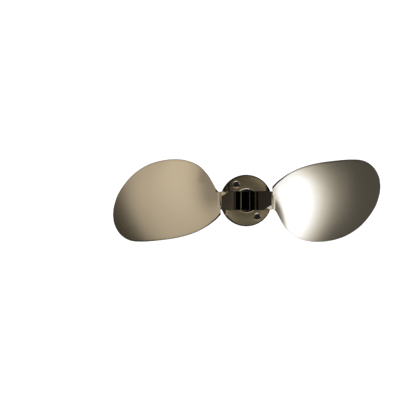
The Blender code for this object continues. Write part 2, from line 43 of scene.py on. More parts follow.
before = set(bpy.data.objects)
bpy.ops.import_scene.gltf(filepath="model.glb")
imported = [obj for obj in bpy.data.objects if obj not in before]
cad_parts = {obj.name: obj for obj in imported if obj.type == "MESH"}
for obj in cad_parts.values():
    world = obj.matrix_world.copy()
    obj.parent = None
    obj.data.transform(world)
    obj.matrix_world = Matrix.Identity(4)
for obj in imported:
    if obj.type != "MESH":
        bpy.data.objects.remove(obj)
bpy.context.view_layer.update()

MM = 0.001
HUB_GROUP = "hub_group"
ACROSS = Matrix.Rotation(math.pi / 2, 4, "X")

# Places that the solids fix
HUB_FOOT, HUB_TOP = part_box("hub")[0].z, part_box("hub")[1].z
PIVOT_OFFSET = 16 * MM
PIVOT_HEIGHT = HUB_TOP - 18.5 * MM
PIN_RADIUS = 5 * MM
PIN_HOLE_RADIUS = PIN_RADIUS + 0.05 * MM
SLOT_HALF = 14.5 * MM
SLOT_DEPTH = 13.6 * MM
SCREW_FROM_CENTRE = 24.5 * MM
SEAT_TOP = 42 * MM
SEAT_BOTTOM = 38 * MM
SOCKET_RADIUS = 22 * MM
SLEEVE_RADIUS = 16 * MM
ANODE_SCREW_CIRCLE = 30.8 * MM
ANODE_HOLE_RADIUS = 3.3 * MM
ANODE_BORE_RADIUS = 24 * MM
SCREW_HOLE_RADIUS = 4.3 * MM
NUT_BORE_RADIUS = 17.5 * MM
SHAFT_HOLE_RADIUS = 12.5 * MM

# Roots: block, arm and gear teeth, heights from the pivots
ROOT_HALF = 14 * MM
ROOT_BLANK_HALF = 14.1 * MM
ROOT_END = 38.6 * MM
ARM_TOP = 13.5 * MM
ARM_BOTTOM = 13.3 * MM
ARM_START = 4.2 * MM
ARM_END_ROUNDING = 1.8 * MM
ARM_SIDE_ROUNDING = 0.4 * MM
TEETH_A_TURN = 12
TOP_TOOTH = {"right": 80, "left": 95}
GEAR_TIP_RADIUS = 18.1 * MM
GEAR_ROOT_RADIUS = 13.3 * MM
GEAR_PRESSURE_ANGLE = math.radians(25)
GEAR_BACKLASH = 0.5 * MM
GEAR_ROOM_RADIUS = 19.1 * MM
HUB_SWING_RADIUS = 22.2 * MM
BLADE_SWING_RADIUS = 23 * MM
CORNER_CUT_START = 26.6 * MM
CORNER_CUT_END = 6.5 * MM
CORNER_CUT_LEAN = Vector((0.35, -0.6, -0.6))
FILLET_START = 37 * MM
FILLET_END = 45 * MM
FILLET_LEADING_RISE = 9 * MM
FILLET_TRAILING_RISE = 3 * MM
FILLET_DEPTH = 5 * MM

# Blade outline seen from aft, in millimetres: (outwards, towards the trailing edge), root to tip
BLADE_REACH = 203.2 * MM
LEADING_EDGE = [(39.2, -11), (46, -18), (52, -28.9), (60, -41.5), (75, -55.6), (98, -63.2), (125, -62.5),
                (152, -54.3), (176, -37.2), (194, -13), (201.4, 7), (203.2, 21.5)]
TRAILING_EDGE = [(39.2, 21.5), (45.6, 28.3), (52, 33.5), (64, 41.7), (82, 50.2), (106, 56.9), (134, 60.9),
                 (160, 62.7), (178, 60.5), (192, 51.2), (200.6, 36.6), (203.2, 21.5)]
OUTLINE_FIT = Vector((1, 0.9965))
ROOT_STATION = 39.2 * MM
RAKE_START = 35 * MM
RAKE_END = 150 * MM
THICK_EDGE_END = 68 * MM
TIP_CROWDING = 1.5
EDGE_CROWDING = 0.35
SECTION_FULLNESS = 0.85


# Properties
def length_setting(name, description, default, **limits):
    return FloatProperty(name=name, description=description, default=default, unit="LENGTH", **limits)


def colour_setting(name, description, default):
    return FloatVectorProperty(
        name=name, description=description, default=default, subtype="COLOR", size=3, min=0, max=1)


def share_setting(name, description, default):
    return FloatProperty(name=name, description=description, default=default, min=0, max=1, subtype="FACTOR")


class BladeShape(bpy.types.PropertyGroup):
    """Sizes of a blade"""

    pitch: length_setting("Pitch", "Advance in one turn", 0.23, min=0.05)
    rake: length_setting("Rake", "How far the face rises aft between root and tip", 0.0133)
    root_thickness: length_setting("Root thickness", "Thickest section at the root", 0.013)
    tip_thickness: length_setting("Tip thickness", "Thickest section at the tip", 0.003)
    edge_thickness: length_setting("Edge thickness", "Thickness of the edges towards the tip", 0.0022)
    root_edge_thickness: length_setting(
        "Root edge thickness", "Thickness of the edges beside the root", 0.0055)
    edge_rounding: length_setting("Edge rounding", "Radius of the corners of the edges", 0.0005)
    rings: IntProperty(
        name="Rings", description="Sections between root and tip", default=96, min=8)
    chord_points: IntProperty(
        name="Chord points", description="Points across each side of a section", default=40, min=8)


class FastenerShape(bpy.types.PropertyGroup):
    """Sizes of the pins and screws"""

    pin_length: length_setting("Pin length", "Length of a pivot pin", 0.066)
    pin_tapping: length_setting("Pin tapping", "Radius of the threaded hole in a pin's end", 0.0021)
    lock_screw_radius: length_setting("Lock screw radius", "Radius of the screws that lock the pins", 0.004)
    lock_screw_recess: length_setting("Lock screw recess", "How far a lock screw is sunk in the hub", 0.0035)
    key_radius: length_setting("Key radius", "Radius over the corners of the hexagon socket", 0.0023)


class MetalLook(bpy.types.PropertyGroup):
    """Colours and finishes"""

    blade_bronze: colour_setting("Blade bronze", "Colour of the ground blades", (0.70, 0.615, 0.475))
    hub_bronze: colour_setting("Hub bronze", "Colour of the turned hub", (0.64, 0.545, 0.36))
    steel: colour_setting("Stainless steel", "Colour of the screws and pins", (0.55, 0.55, 0.58))
    dark_steel: colour_setting("Blackened steel", "Colour of the lock screws", (0.12, 0.12, 0.15))
    anode: colour_setting("Anode metal", "Colour of the cast anode", (0.56, 0.57, 0.58))
    blade_roughness: share_setting("Blade roughness", "Gloss of the ground blades", 0.14)
    hub_roughness: share_setting("Hub roughness", "Gloss of the turned hub", 0.17)


class StageLook(bpy.types.PropertyGroup):
    """Floor, light and camera"""

    camera_height: length_setting("Camera distance", "Camera above the blades", 3.0)
    picture_width: length_setting("Picture width", "Width seen at the blades", 0.6107)
    camera_x: length_setting("Camera X", "Picture centre across", -0.0709)
    camera_y: length_setting("Camera Y", "Picture centre up", 0.0009)
    bright_light: FloatProperty(
        name="Bright light", description="Strength of the large light below the picture", default=2.2, min=0)
    warm_light: FloatProperty(
        name="Warm light", description="Strength of the soft light above the picture", default=0.60, min=0)
    dim_sky: FloatProperty(
        name="Dim sky", description="Strength of the studio right above", default=0.1, min=0)


# Meshes
def object_from(name, mesh):
    obj = bpy.data.objects.new(name, mesh)
    bpy.context.scene.collection.objects.link(obj)
    return obj


def mesh_from(bm, name="mesh"):
    """A mesh whose faces point outwards."""
    bmesh.ops.recalc_face_normals(bm, faces=bm.faces)
    if bm.calc_volume(signed=True) < 0:
        bmesh.ops.reverse_faces(bm, faces=bm.faces)
    mesh = bpy.data.meshes.new(name)
    bm.to_mesh(mesh)
    bm.free()
    return mesh


def applied(obj):
    """The object's evaluated mesh, after which the object and its modifiers are gone."""
    graph = bpy.context.evaluated_depsgraph_get()
    mesh = bpy.data.meshes.new_from_object(obj.evaluated_get(graph))
    mesh.transform(obj.matrix_world)
    bpy.data.objects.remove(obj)
    return mesh


def cylinder(radius, low, high, steps=96):
    bm = bmesh.new()
    bmesh.ops.create_cone(
        bm, cap_ends=True, segments=steps, radius1=radius, radius2=radius, depth=high - low)
    bmesh.ops.translate(bm, verts=bm.verts, vec=(0, 0, (low + high) / 2))
    return mesh_from(bm)


def box(low, high):
    bm = bmesh.new()
    bmesh.ops.create_cube(bm, size=1)
    low, high = Vector(low), Vector(high)
    bmesh.ops.scale(bm, verts=bm.verts, vec=high - low)
    bmesh.ops.translate(bm, verts=bm.verts, vec=(low + high) / 2)
    return mesh_from(bm)


def turned(profile, steps=128):
    """A closed (radius, height) outline spun about Z. A point on the axis has radius 0."""
    bm = bmesh.new()
    ring = [bm.verts.new((radius, 0, height)) for radius, height in profile]
    edges = [bm.edges.new((a, b)) for a, b in zip(ring, ring[1:] + ring[:1])]
    bmesh.ops.spin(bm, geom=ring + edges, cent=(0, 0, 0), axis=(0, 0, 1), angle=math.tau, steps=steps)
    bmesh.ops.remove_doubles(bm, verts=bm.verts, dist=0.000002)
    loose = [edge for edge in bm.edges if not edge.link_faces]
    bmesh.ops.delete(bm, geom=loose, context="EDGES")
    return mesh_from(bm)


def arc(centre, radius, start, end, steps):
    angles = [math.radians(start + (end - start) * i / steps) for i in range(steps + 1)]
    return [(centre[0] + radius * math.cos(a), centre[1] + radius * math.sin(a)) for a in angles]


def extruded(points, low, high):
    """A flat outline in XY raised from low to high along Z."""
    bm = bmesh.new()
    face = bm.faces.new([bm.verts.new((x, y, low)) for x, y in points])
    made = bmesh.ops.extrude_face_region(bm, geom=[face])["geom"]
    top = [item for item in made if isinstance(item, bmesh.types.BMVert)]
    bmesh.ops.translate(bm, verts=top, vec=(0, 0, high - low))
    return mesh_from(bm)


def loft(rings, tip=None):
    """A closed mesh through rings of points, with a flat start, and a flat end or a point."""
    bm = bmesh.new()
    made = [[bm.verts.new(point) for point in ring] for ring in rings]
    for ring, following in zip(made, made[1:]):
        for i in range(len(ring)):
            j = (i + 1) % len(ring)
            bm.faces.new((ring[i], ring[j], following[j], following[i]))
    bm.faces.new(made[0])
    if tip is None:
        bm.faces.new(made[-1])
    else:
        end = bm.verts.new(tip)
        for i in range(len(made[-1])):
            bm.faces.new((made[-1][i], made[-1][(i + 1) % len(made[-1])], end))
    return mesh_from(bm)


def moved(mesh, *matrices):
    for matrix in matrices:
        mesh.transform(matrix)
    return mesh


def carved(mesh, others, operation="DIFFERENCE"):
    """The mesh after a Boolean with each of the others in turn."""
    obj = object_from("carved", mesh)
    helpers = []
    for other in others:
        helper = object_from("helper", other)
        helpers.append(helper)
        boolean = obj.modifiers.new("boolean", "BOOLEAN")
        boolean.operation = operation
        boolean.object = helper
        boolean.solver = "EXACT"
    made = applied(obj)
    for helper in helpers:
        bpy.data.objects.remove(helper)
    return made


def softened(mesh, width, angle=35, segments=2):
    """The mesh with its sharp edges rounded."""
    bm = bmesh.new()
    bm.from_mesh(mesh)
    bmesh.ops.remove_doubles(bm, verts=bm.verts, dist=0.000005)
    bmesh.ops.dissolve_limit(bm, angle_limit=math.radians(0.05), verts=bm.verts, edges=bm.edges)
    bm.to_mesh(mesh)
    bm.free()
    obj = object_from("softened", mesh)
    bevel = obj.modifiers.new("bevel", "BEVEL")
    bevel.width = width
    bevel.segments = segments
    bevel.limit_method = "ANGLE"
    bevel.angle_limit = math.radians(angle)
    bevel.use_clamp_overlap = True
    return applied(obj)


def finished(name, mesh, body, look, nodes=(), sharp=32):
    """A smooth-shaded piece that rides on a body and stands for the nodes."""
    mesh.name = name
    mesh.materials.clear()
    mesh.materials.append(bpy.data.materials[look])
    mesh.polygons.foreach_set("material_index", [0] * len(mesh.polygons))
    mesh.shade_smooth()
    mesh.set_sharp_from_angle(angle=math.radians(sharp))
    shaded = object_from("shaded", mesh)
    weighted = shaded.modifiers.new("weighted", "WEIGHTED_NORMAL")
    weighted.keep_sharp = True
    piece = object_from(name, applied(shaded))
    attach(piece, body)
    if nodes:
        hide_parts(*nodes)
    return piece


# Nodes of any tree
def add(tree, kind, **values):
    """A node with its properties and, under socket names, its input values."""
    node = tree.nodes.new(kind)
    inputs = values.pop("inputs", {})
    for key, value in values.items():
        setattr(node, key, value)
    for key, value in inputs.items():
        feed(tree, node.inputs[key], value)
    return node


def feed(tree, socket, value):
    if isinstance(value, bpy.types.NodeSocket):
        tree.links.new(value, socket)
    else:
        socket.default_value = value


def maths(tree, operation, a, b=0.0, clamp=False):
    node = tree.nodes.new("ShaderNodeMath")
    node.operation = operation
    node.use_clamp = clamp
    feed(tree, node.inputs[0], a)
    feed(tree, node.inputs[1], b)
    return node.outputs[0]


def times(tree, *factors):
    result = factors[0]
    for factor in factors[1:]:
        result = maths(tree, "MULTIPLY", result, factor)
    return result


def plus(tree, *terms):
    result = terms[0]
    for term in terms[1:]:
        result = maths(tree, "ADD", result, term)
    return result


def minus(tree, a, b):
    return maths(tree, "SUBTRACT", a, b)


def vector(tree, **parts):
    """A vector from its parts X, Y and Z."""
    return add(tree, "ShaderNodeCombineXYZ", inputs=parts).outputs[0]


def parts_of(tree, value):
    """The parts X, Y and Z of a vector."""
    return add(tree, "ShaderNodeSeparateXYZ", inputs={"Vector": value}).outputs


def mixed(tree, kind, factor, a, b):
    """A Mix node's result. kind is FLOAT, VECTOR or RGBA."""
    node = tree.nodes.new("ShaderNodeMix")
    node.data_type = kind
    feed(tree, node.inputs["Factor"], factor)
    feed(tree, node.inputs["A"], a)
    feed(tree, node.inputs["B"], b)
    return node.outputs["Result"]


def ramped(tree, value, low, high, start=0.0, end=1.0):
    """A soft step of a value between low and high."""
    node = add(tree, "ShaderNodeMapRange", interpolation_type="SMOOTHSTEP", inputs={
        "Value": value, "From Min": low, "From Max": high, "To Min": start, "To Max": end})
    return node.outputs[0]


# Shader groups
def new_group(name, inputs, outputs):
    group = bpy.data.node_groups.new(name, "ShaderNodeTree")
    for label, kind, value in inputs:
        socket = group.interface.new_socket(label, in_out="INPUT", socket_type=kind)
        socket.default_value = value
    for label in outputs:
        group.interface.new_socket(label, in_out="OUTPUT", socket_type="NodeSocketFloat")
    return group, group.nodes.new("NodeGroupInput").outputs, group.nodes.new("NodeGroupOutput").inputs


def noise(tree, place, scale, detail=3.0, roughness=0.5):
    return add(tree, "ShaderNodeTexNoise", inputs={
        "Vector": place, "Scale": scale, "Detail": detail, "Roughness": roughness}).outputs[0]


def flat_length(tree, a, b):
    """Length of a flat vector."""
    return maths(tree, "SQRT", plus(tree, times(tree, a, a), times(tree, b, b)))


def machining_group():
    """Fine tool marks. Turned marks run round the shaft's axis, and straight ones along the X axis."""
    group, given, out = new_group("machining_marks", [
        ("Vector", "NodeSocketVector", (0, 0, 0)),
        ("Turned", "NodeSocketFloat", 1.0),
        ("Fineness", "NodeSocketFloat", 900.0),
        ("Stretch", "NodeSocketFloat", 0.02),
    ], ["Marks", "Patches"])
    place = given["Vector"]
    x, y, z = parts_of(group, place)
    slow = times(group, maths(group, "ARCTAN2", y, x), given["Stretch"])
    round_marks = vector(group, X=flat_length(group, x, y), Y=slow, Z=z)
    slid = add(group, "ShaderNodeVectorMath", operation="MULTIPLY", inputs={0: place, 1: (0.03, 1, 1)})
    marked = mixed(group, "VECTOR", given["Turned"], slid.outputs[0], round_marks)
    feed(group, out["Marks"], noise(group, marked, given["Fineness"], 4.0, 0.6))
    feed(group, out["Patches"], noise(group, place, 42.0, 3.0, 0.55))


def wear_group():
    """Edges rubbed bright, from the surface's own curvature, broken up with noise."""
    group, given, out = new_group("edge_wear", [
        ("Vector", "NodeSocketVector", (0, 0, 0)),
        ("Amount", "NodeSocketFloat", 0.5),
    ], ["Mask"])
    shape = group.nodes.new("ShaderNodeNewGeometry")
    ridge = maths(group, "MULTIPLY", minus(group, shape.outputs["Pointiness"], 0.5), 9.0, clamp=True)
    broken = plus(group, noise(group, given["Vector"], 160.0), 0.35)
    mask = maths(group, "MULTIPLY", times(group, ridge, broken), given["Amount"], clamp=True)
    feed(group, out["Mask"], mask)


def painted_shade_group():
    """Painted shade: deep between the gears, lighter on the roots, and on the hub's rim, at the ends of its
    upper face and along the blades' edges.

    Edges says where the edges are, and Rubbed is where the tips of the teeth are left unshaded and made
    rougher.
    """
    group, given, out = new_group("painted_shade_masks", [
        ("Vector", "NodeSocketVector", (0, 0, 0)),
        ("Root Shade", "NodeSocketFloat", 1.0),
        ("Rim", "NodeSocketFloat", 0.0),
        ("Edges", "NodeSocketFloat", 0.0),
    ], ["Mask", "Rubbed"])

    def step(value, low, high, start=0.0, end=1.0):
        return ramped(group, value, low * MM, high * MM, start, end)

    def both(*masks):
        return times(group, *masks)

    def most(*masks):
        result = masks[0]
        for mask in masks[1:]:
            result = maths(group, "MAXIMUM", result, mask)
        return result

    top, slot = HUB_TOP / MM, SLOT_HALF / MM
    x, y, z = parts_of(group, given["Vector"])
    out_along, wide = maths(group, "ABSOLUTE", x), maths(group, "ABSOLUTE", y)

    # Painted shade, near black, in the slot between the gears, but not on the rubbed tips of the teeth
    uneven = times(group, minus(group, noise(group, given["Vector"], 120.0), 0.5), 3 * MM)
    inner = step(plus(group, out_along, uneven), 17, 19, 1.0, 0.0)
    gear_shade = both(inner, step(z, top - 2.5, top - 0.5, 1.0, 0.0), step(wide, 17.4, 17.6, 1.0, 0.0))
    between = step(wide, slot - 0.3, slot - 0.1, 1.0, 0.0)
    from_pivot = flat_length(group, minus(group, out_along, PIVOT_OFFSET), minus(group, z, PIVOT_HEIGHT))
    rubbed = both(step(from_pivot, 17.75, 17.95), gear_shade, between, step(out_along, 2.5, 3.5))
    gear_shade = both(gear_shade, minus(group, 1.0, rubbed))

    # Lighter painted shade on the roots, darker on the right one, but not on their cut corners, and a painted
    # dark band on the underside beside the left root
    leading = times(group, y, maths(group, "SIGN", x))
    corner = minus(group, times(group, out_along, 0.535), times(group, leading, 0.845))
    root = both(between, step(out_along, 37.5, 38.5, 1.0, 0.0), step(corner, 26.0, 26.2, 1.0, 0.0))
    roots_shaded = both(root, step(x, -5, 5, 0.7, 0.9))
    underside = both(step(y, 12.6, 13.3, 0.0, 0.9), step(x, -47.5, -46.5), step(x, -38.4, -37.9, 1.0, 0.0))
    roots_shaded = both(most(roots_shaded, underside), given["Root Shade"])

    # Painted shade on the hub's rim and at both ends of its upper half
    rim = both(step(flat_length(group, x, y), 36.9, 37.5, 0.0, 0.9), step(z, top - 3, top - 2))
    ends = most(step(x, -27.5, -24.5, 0.75, 0.0), step(x, 28.5, 30, 0.0, 0.8))
    end_shade = both(ends, step(y, slot - 0.3, slot + 0.1), step(z, top - 12, top - 10))
    rim = both(most(rim, end_shade), given["Rim"])

    # Painted shade along the edges, fading in between 44 and 50 mm out from the shaft's axis, so on the
    # blades only
    edge = both(maths(group, "MULTIPLY", given["Edges"], 7.0, clamp=True), step(out_along, 44, 50, 0.0, 0.95))
    feed(group, out["Mask"], most(edge, gear_shade, roots_shaded, rim))
    feed(group, out["Rubbed"], rubbed)


# Materials
# Colour of the painted shade, near black
PAINTED_SHADE_COLOUR = (0.012, 0.01, 0.007, 1)
WORN_GAIN = 1.25
WORN_GLOSS = 0.08
RUBBED_ROUGHNESS = 0.3


def metal(name, colour, roughness, turned_marks=1.0, fineness=900.0, marks=0.1, bump=0.02, wear=0.5,
          tint=0.06, metallic=1.0, ground_above=None, root_shade_amount=None, rim_shade_amount=0.0):
    """A metal with tool marks, patches of gloss and rubbed edges, and painted shade between the gears, on the
    roots, rims and edges where its amounts are given.

    Its turned marks give way to straight ones above the height ground_above.
    """
    material = bpy.data.materials.new(name)
    material.use_nodes = True
    tree = material.node_tree
    surface = tree.nodes["Principled BSDF"].inputs
    place = tree.nodes.new("ShaderNodeTexCoord").outputs["Object"]
    if ground_above is not None:
        low, high = ground_above - 0.1 * MM, ground_above + 0.1 * MM
        turned_marks = ramped(tree, parts_of(tree, place)["Z"], low, high, turned_marks, 0.0)
    tool = add(tree, "ShaderNodeGroup", node_tree=bpy.data.node_groups["machining_marks"], inputs={
        "Vector": place, "Turned": turned_marks, "Fineness": fineness}).outputs
    rubbed = add(tree, "ShaderNodeGroup", node_tree=bpy.data.node_groups["edge_wear"], inputs={
        "Vector": place, "Amount": wear}).outputs["Mask"]

    streak, shade = minus(tree, tool["Marks"], 0.5), minus(tree, tool["Patches"], 0.5)
    value = plus(tree, times(tree, shade, tint), times(tree, streak, tint), 1.0)
    toned = add(tree, "ShaderNodeVectorMath", operation="SCALE", inputs={0: tuple(colour), "Scale": value})
    bright = (*[min(1, channel * WORN_GAIN) for channel in colour], 1)
    worn_and_shaded = mixed(tree, "RGBA", rubbed, toned.outputs[0], bright)
    rough = minus(tree, plus(tree, times(tree, streak, marks), roughness), times(tree, rubbed, WORN_GLOSS))
    if root_shade_amount is not None:
        shade_outputs = add(tree, "ShaderNodeGroup", node_tree=bpy.data.node_groups["painted_shade_masks"], inputs={
            "Vector": place, "Root Shade": root_shade_amount, "Rim": rim_shade_amount, "Edges": rubbed}).outputs
        # Painted shade laid over the colour
        worn_and_shaded = mixed(tree, "RGBA", shade_outputs["Mask"], worn_and_shaded, PAINTED_SHADE_COLOUR)
        rough = plus(tree, rough, times(tree, shade_outputs["Rubbed"], RUBBED_ROUGHNESS))
    feed(tree, surface["Base Color"], worn_and_shaded)
    feed(tree, surface["Roughness"], maths(tree, "MAXIMUM", rough, 0.02))
    surface["Metallic"].default_value = metallic
    uneven = add(tree, "ShaderNodeBump", inputs={
        "Strength": 1.0, "Distance": bump * MM, "Height": tool["Marks"]})
    feed(tree, surface["Normal"], uneven.outputs["Normal"])


def make_materials():
    look = bpy.context.scene.propeller_metal
    machining_group()
    wear_group()
    painted_shade_group()
    # Both bronzes take painted shade in the slot, on the roots and along edges, the hub's also on its rim
    metal("bronze_ground", look.blade_bronze, look.blade_roughness, turned_marks=0.0, fineness=900,
          marks=0.03, bump=0.0006, wear=0.4, tint=0.02, root_shade_amount=0.85)
    metal("bronze_turned", look.hub_bronze, look.hub_roughness, fineness=700, marks=0.16, bump=0.003,
          wear=0.2, tint=0.3, ground_above=HUB_TOP - 0.95 * MM, root_shade_amount=0.8, rim_shade_amount=1.0)
    metal("steel_turned", look.steel, 0.25, fineness=1500, marks=0.1, bump=0.003, wear=0.3)
    metal("steel_blackened", look.dark_steel, 0.3, fineness=1500, marks=0.1, bump=0.003, wear=0.2)
    metal("anode_cast", look.anode, 0.5, turned_marks=0.0, fineness=260, marks=0.2, bump=0.05, wear=0.3,
          tint=0.15)
    metal("damper_rubber", (0.03, 0.03, 0.032), 0.7, turned_marks=0.0, fineness=400, marks=0.1, bump=0.01,
          wear=0.0, tint=0.3, metallic=0.0)


# Blade shape
def smooth_curve(points, count):
    """count points along a Catmull-Rom curve, closer together towards its end."""
    ends = [2 * points[0] - points[1], *points, 2 * points[-1] - points[-2]]
    made = []
    for index in range(count):
        share = 1 - (1 - index / (count - 1)) ** TIP_CROWDING
        at = share * (len(points) - 1)
        span = min(int(at), len(points) - 2)
        t = at - span
        a, b, c, d = ends[span:span + 4]
        bend = (2 * a - 5 * b + 4 * c - d) * t ** 2 + (3 * b - a - 3 * c + d) * t ** 3
        made.append(0.5 * (2 * b + (c - a) * t + bend))
    return made


def share_between(value, low, high):
    return min(max((value - low) / (high - low), 0), 1)


def face_point(shape, x, y):
    """Point and unit normal of the pressure face, a screw surface raked aft, heights from the pivots."""
    advance = shape.pitch / math.tau
    share = share_between(x, RAKE_START, RAKE_END)
    height = shape.rake * math.sin(math.pi / 2 * share) + advance * math.atan2(y, x)
    rise = shape.rake * math.pi / 2 / (RAKE_END - RAKE_START) * math.cos(math.pi / 2 * share) if share else 0
    slope_x = rise - advance * y / (x * x + y * y)
    slope_y = advance * x / (x * x + y * y)
    return Vector((x, y, height)), Vector((-slope_x, -slope_y, 1)).normalized()


def edge_thickness(shape, x):
    share = share_between(x, ROOT_STATION, THICK_EDGE_END)
    return shape.root_edge_thickness + (shape.edge_thickness - shape.root_edge_thickness) * share


def blade_ring(shape, lead, trail):
    """One closed section. It is thick square to the face, so the back stands out past its trailing edge."""
    normal = face_point(shape, trail.x, trail.y)[1]
    fade = min(1, (trail - lead).length / (4 * shape.edge_thickness))
    trail = trail + fade * edge_thickness(shape, trail.x) * Vector((normal.x, normal.y))
    chord = (trail - lead).length
    span = share_between((lead.x + trail.x) / 2, ROOT_STATION, BLADE_REACH)
    thinning = (shape.root_thickness - shape.tip_thickness) * math.sin(math.pi / 2 * span)
    thickest = shape.root_thickness - thinning
    rounding = min(shape.edge_rounding, chord / 4)
    corner = 4
    distances = []
    for i in range(corner):
        angle = math.pi / 2 * i / corner
        distances.append((rounding * (1 - math.cos(angle)), rounding * (1 - math.sin(angle))))
    for i in range(shape.chord_points + 1):
        share = 0.5 - 0.5 * math.cos(math.pi * i / shape.chord_points)
        share = EDGE_CROWDING * share + (1 - EDGE_CROWDING) * i / shape.chord_points
        distances.append((rounding + (chord - 2 * rounding) * share, 0))
    distances += [(chord - distance, drop) for distance, drop in reversed(distances[:corner])]
    face, back = [], []
    for distance, drop in distances:
        share = distance / chord
        spot = lead.lerp(trail, share)
        point, normal = face_point(shape, spot.x, spot.y)
        edge = edge_thickness(shape, spot.x)
        thickness = edge + max(thickest - edge, 0) * (4 * share * (1 - share)) ** SECTION_FULLNESS
        face.append(point - drop * normal)
        back.append(point - (thickness - drop) * normal)
    return face + back[::-1]


def blade_mesh(shape):
    lead = smooth_curve([Vector(p) * OUTLINE_FIT * MM for p in LEADING_EDGE], shape.rings)
    trail = smooth_curve([Vector(p) * OUTLINE_FIT * MM for p in TRAILING_EDGE], shape.rings)
    point, normal = face_point(shape, lead[-1].x, lead[-1].y)
    tip = point - normal * shape.edge_thickness / 2
    tip.x = BLADE_REACH
    return loft([blade_ring(shape, start, end) for start, end in zip(lead[:-1], trail[:-1])], tip)


def fillet_mesh(shape, steps=14, points=29):
    """The fillet between the arm's end and the blade's face, highest on the leading side."""
    rings = []
    for step in range(steps + 1):
        share = step / steps
        x = FILLET_START + (FILLET_END - FILLET_START) * share
        top, bottom = [], []
        for index in range(points):
            across = index / (points - 1)
            y = 2 * (ROOT_HALF - ARM_SIDE_ROUNDING) * (across - 0.5)
            face = face_point(shape, x, y)[0].z
            rise = FILLET_LEADING_RISE + (FILLET_TRAILING_RISE - FILLET_LEADING_RISE) * across
            height = face + rise * (1 - share) ** 2 - 0.1 * MM
            top.append(Vector((x, y, min(height, ARM_TOP - 2.3 * MM))))
            bottom.append(Vector((x, y, max(face - FILLET_DEPTH, 0.3 * MM - ARM_BOTTOM))))
        rings.append(top + bottom[::-1])
    return loft(rings)


# Gear teeth
def tooth_half_angle(radius):
    """Half the angle that an involute tooth spans at this radius."""
    base = PIVOT_OFFSET * math.cos(GEAR_PRESSURE_ANGLE)
    thickness = math.pi * PIVOT_OFFSET / TEETH_A_TURN - GEAR_BACKLASH
    here = math.acos(base / max(radius, base))
    full = math.tan(GEAR_PRESSURE_ANGLE) - GEAR_PRESSURE_ANGLE
    return thickness / 2 / PIVOT_OFFSET + full - (math.tan(here) - here)


def root_outline(teeth):
    """Side outline of a root about its pivot: arm, teeth and boss."""
    end = ROOT_END - PIVOT_OFFSET
    base = PIVOT_OFFSET * math.cos(GEAR_PRESSURE_ANGLE)
    radii = [GEAR_ROOT_RADIUS] + [base + (GEAR_TIP_RADIUS - base) * i / 7 for i in range(8)]
    flank = [(tooth_half_angle(radius), radius) for radius in radii]
    points = [(end, ARM_TOP), (ARM_START, ARM_TOP)]
    for centre in teeth:
        middle = math.radians(centre)
        for sign, side in ((1, flank), (-1, flank[::-1])):
            for half, radius in side:
                angle = middle + sign * half
                points.append((-radius * math.cos(angle), radius * math.sin(angle)))
    lowest = math.radians(teeth[-1]) - tooth_half_angle(GEAR_ROOT_RADIUS)
    for step in range(1, 17):
        angle = lowest + (-math.pi / 2 - lowest) * step / 16
        points.append((-GEAR_ROOT_RADIUS * math.cos(angle), GEAR_ROOT_RADIUS * math.sin(angle)))
    points.append((end, -ARM_BOTTOM))
    return points


def root_mesh(teeth):
    """The root about its pivot, whose corner on the leading side is cut back towards the blade."""
    mesh = moved(extruded(root_outline(teeth), -ROOT_BLANK_HALF, ROOT_BLANK_HALF), ACROSS)
    bm = bmesh.new()
    bm.from_mesh(mesh)
    arm_end = ROOT_END - PIVOT_OFFSET
    start = Vector((CORNER_CUT_START - PIVOT_OFFSET, -ROOT_BLANK_HALF, ARM_TOP))
    end = Vector((arm_end, -CORNER_CUT_END, ARM_TOP))
    normal = (end - start).cross(CORNER_CUT_LEAN).normalized()
    if normal.z < 0:
        normal.negate()
    cut = bmesh.ops.bisect_plane(
        bm, geom=bm.verts[:] + bm.edges[:] + bm.faces[:], plane_co=start, plane_no=normal, clear_outer=True)
    bmesh.ops.contextual_create(bm, geom=[e for e in cut["geom_cut"] if isinstance(e, bmesh.types.BMEdge)])
    bmesh.ops.recalc_face_normals(bm, faces=bm.faces)

    def rounded(edges, radius, segments):
        bmesh.ops.bevel(bm, geom=edges, offset=radius, segments=segments, profile=0.5, affect="EDGES",
                        clamp_overlap=True)

    def off_rim(vert):
        return abs(vert.co.x - arm_end) + abs(vert.co.z - ARM_TOP)

    rounded([e for e in bm.edges if max(off_rim(v) for v in e.verts) < 0.01 * MM], ARM_END_ROUNDING, 6)
    rounded([e for e in bm.edges if min(v.co.x for v in e.verts) > ARM_START + 0.1 * MM
             and e.calc_face_angle(0) > 0.5 and max(v.co.z for v in e.verts) > 0], ARM_SIDE_ROUNDING, 3)
    return moved(mesh_from(bm), Matrix.Translation((PIVOT_OFFSET, 0, 0)))


def closed(mesh):
    """The mesh without slivers or open edges."""
    bm = bmesh.new()
    bm.from_mesh(mesh)
    bmesh.ops.remove_doubles(bm, verts=bm.verts, dist=0.01 * MM)
    bmesh.ops.dissolve_degenerate(bm, edges=bm.edges, dist=0.005 * MM)
    bmesh.ops.holes_fill(bm, edges=[edge for edge in bm.edges if edge.is_boundary], sides=0)
    return mesh_from(bm)


def whole_blade(shape, teeth):
    """Blade, fillet and root in one, cut back beside the root and drilled, with heights from the pivots."""
    mesh = carved(blade_mesh(shape), [root_mesh(teeth), fillet_mesh(shape)], "UNION")
    cutters = [cylinder(BLADE_SWING_RADIUS, ROOT_HALF, 60 * MM),
               cylinder(BLADE_SWING_RADIUS, -60 * MM, -ROOT_HALF),
               cylinder(PIN_HOLE_RADIUS, -60 * MM, 60 * MM, 64)]
    to_pivot = Matrix.Translation((PIVOT_OFFSET, 0, 0))
    return closed(carved(mesh, [moved(cutter, ACROSS, to_pivot) for cutter in cutters]))


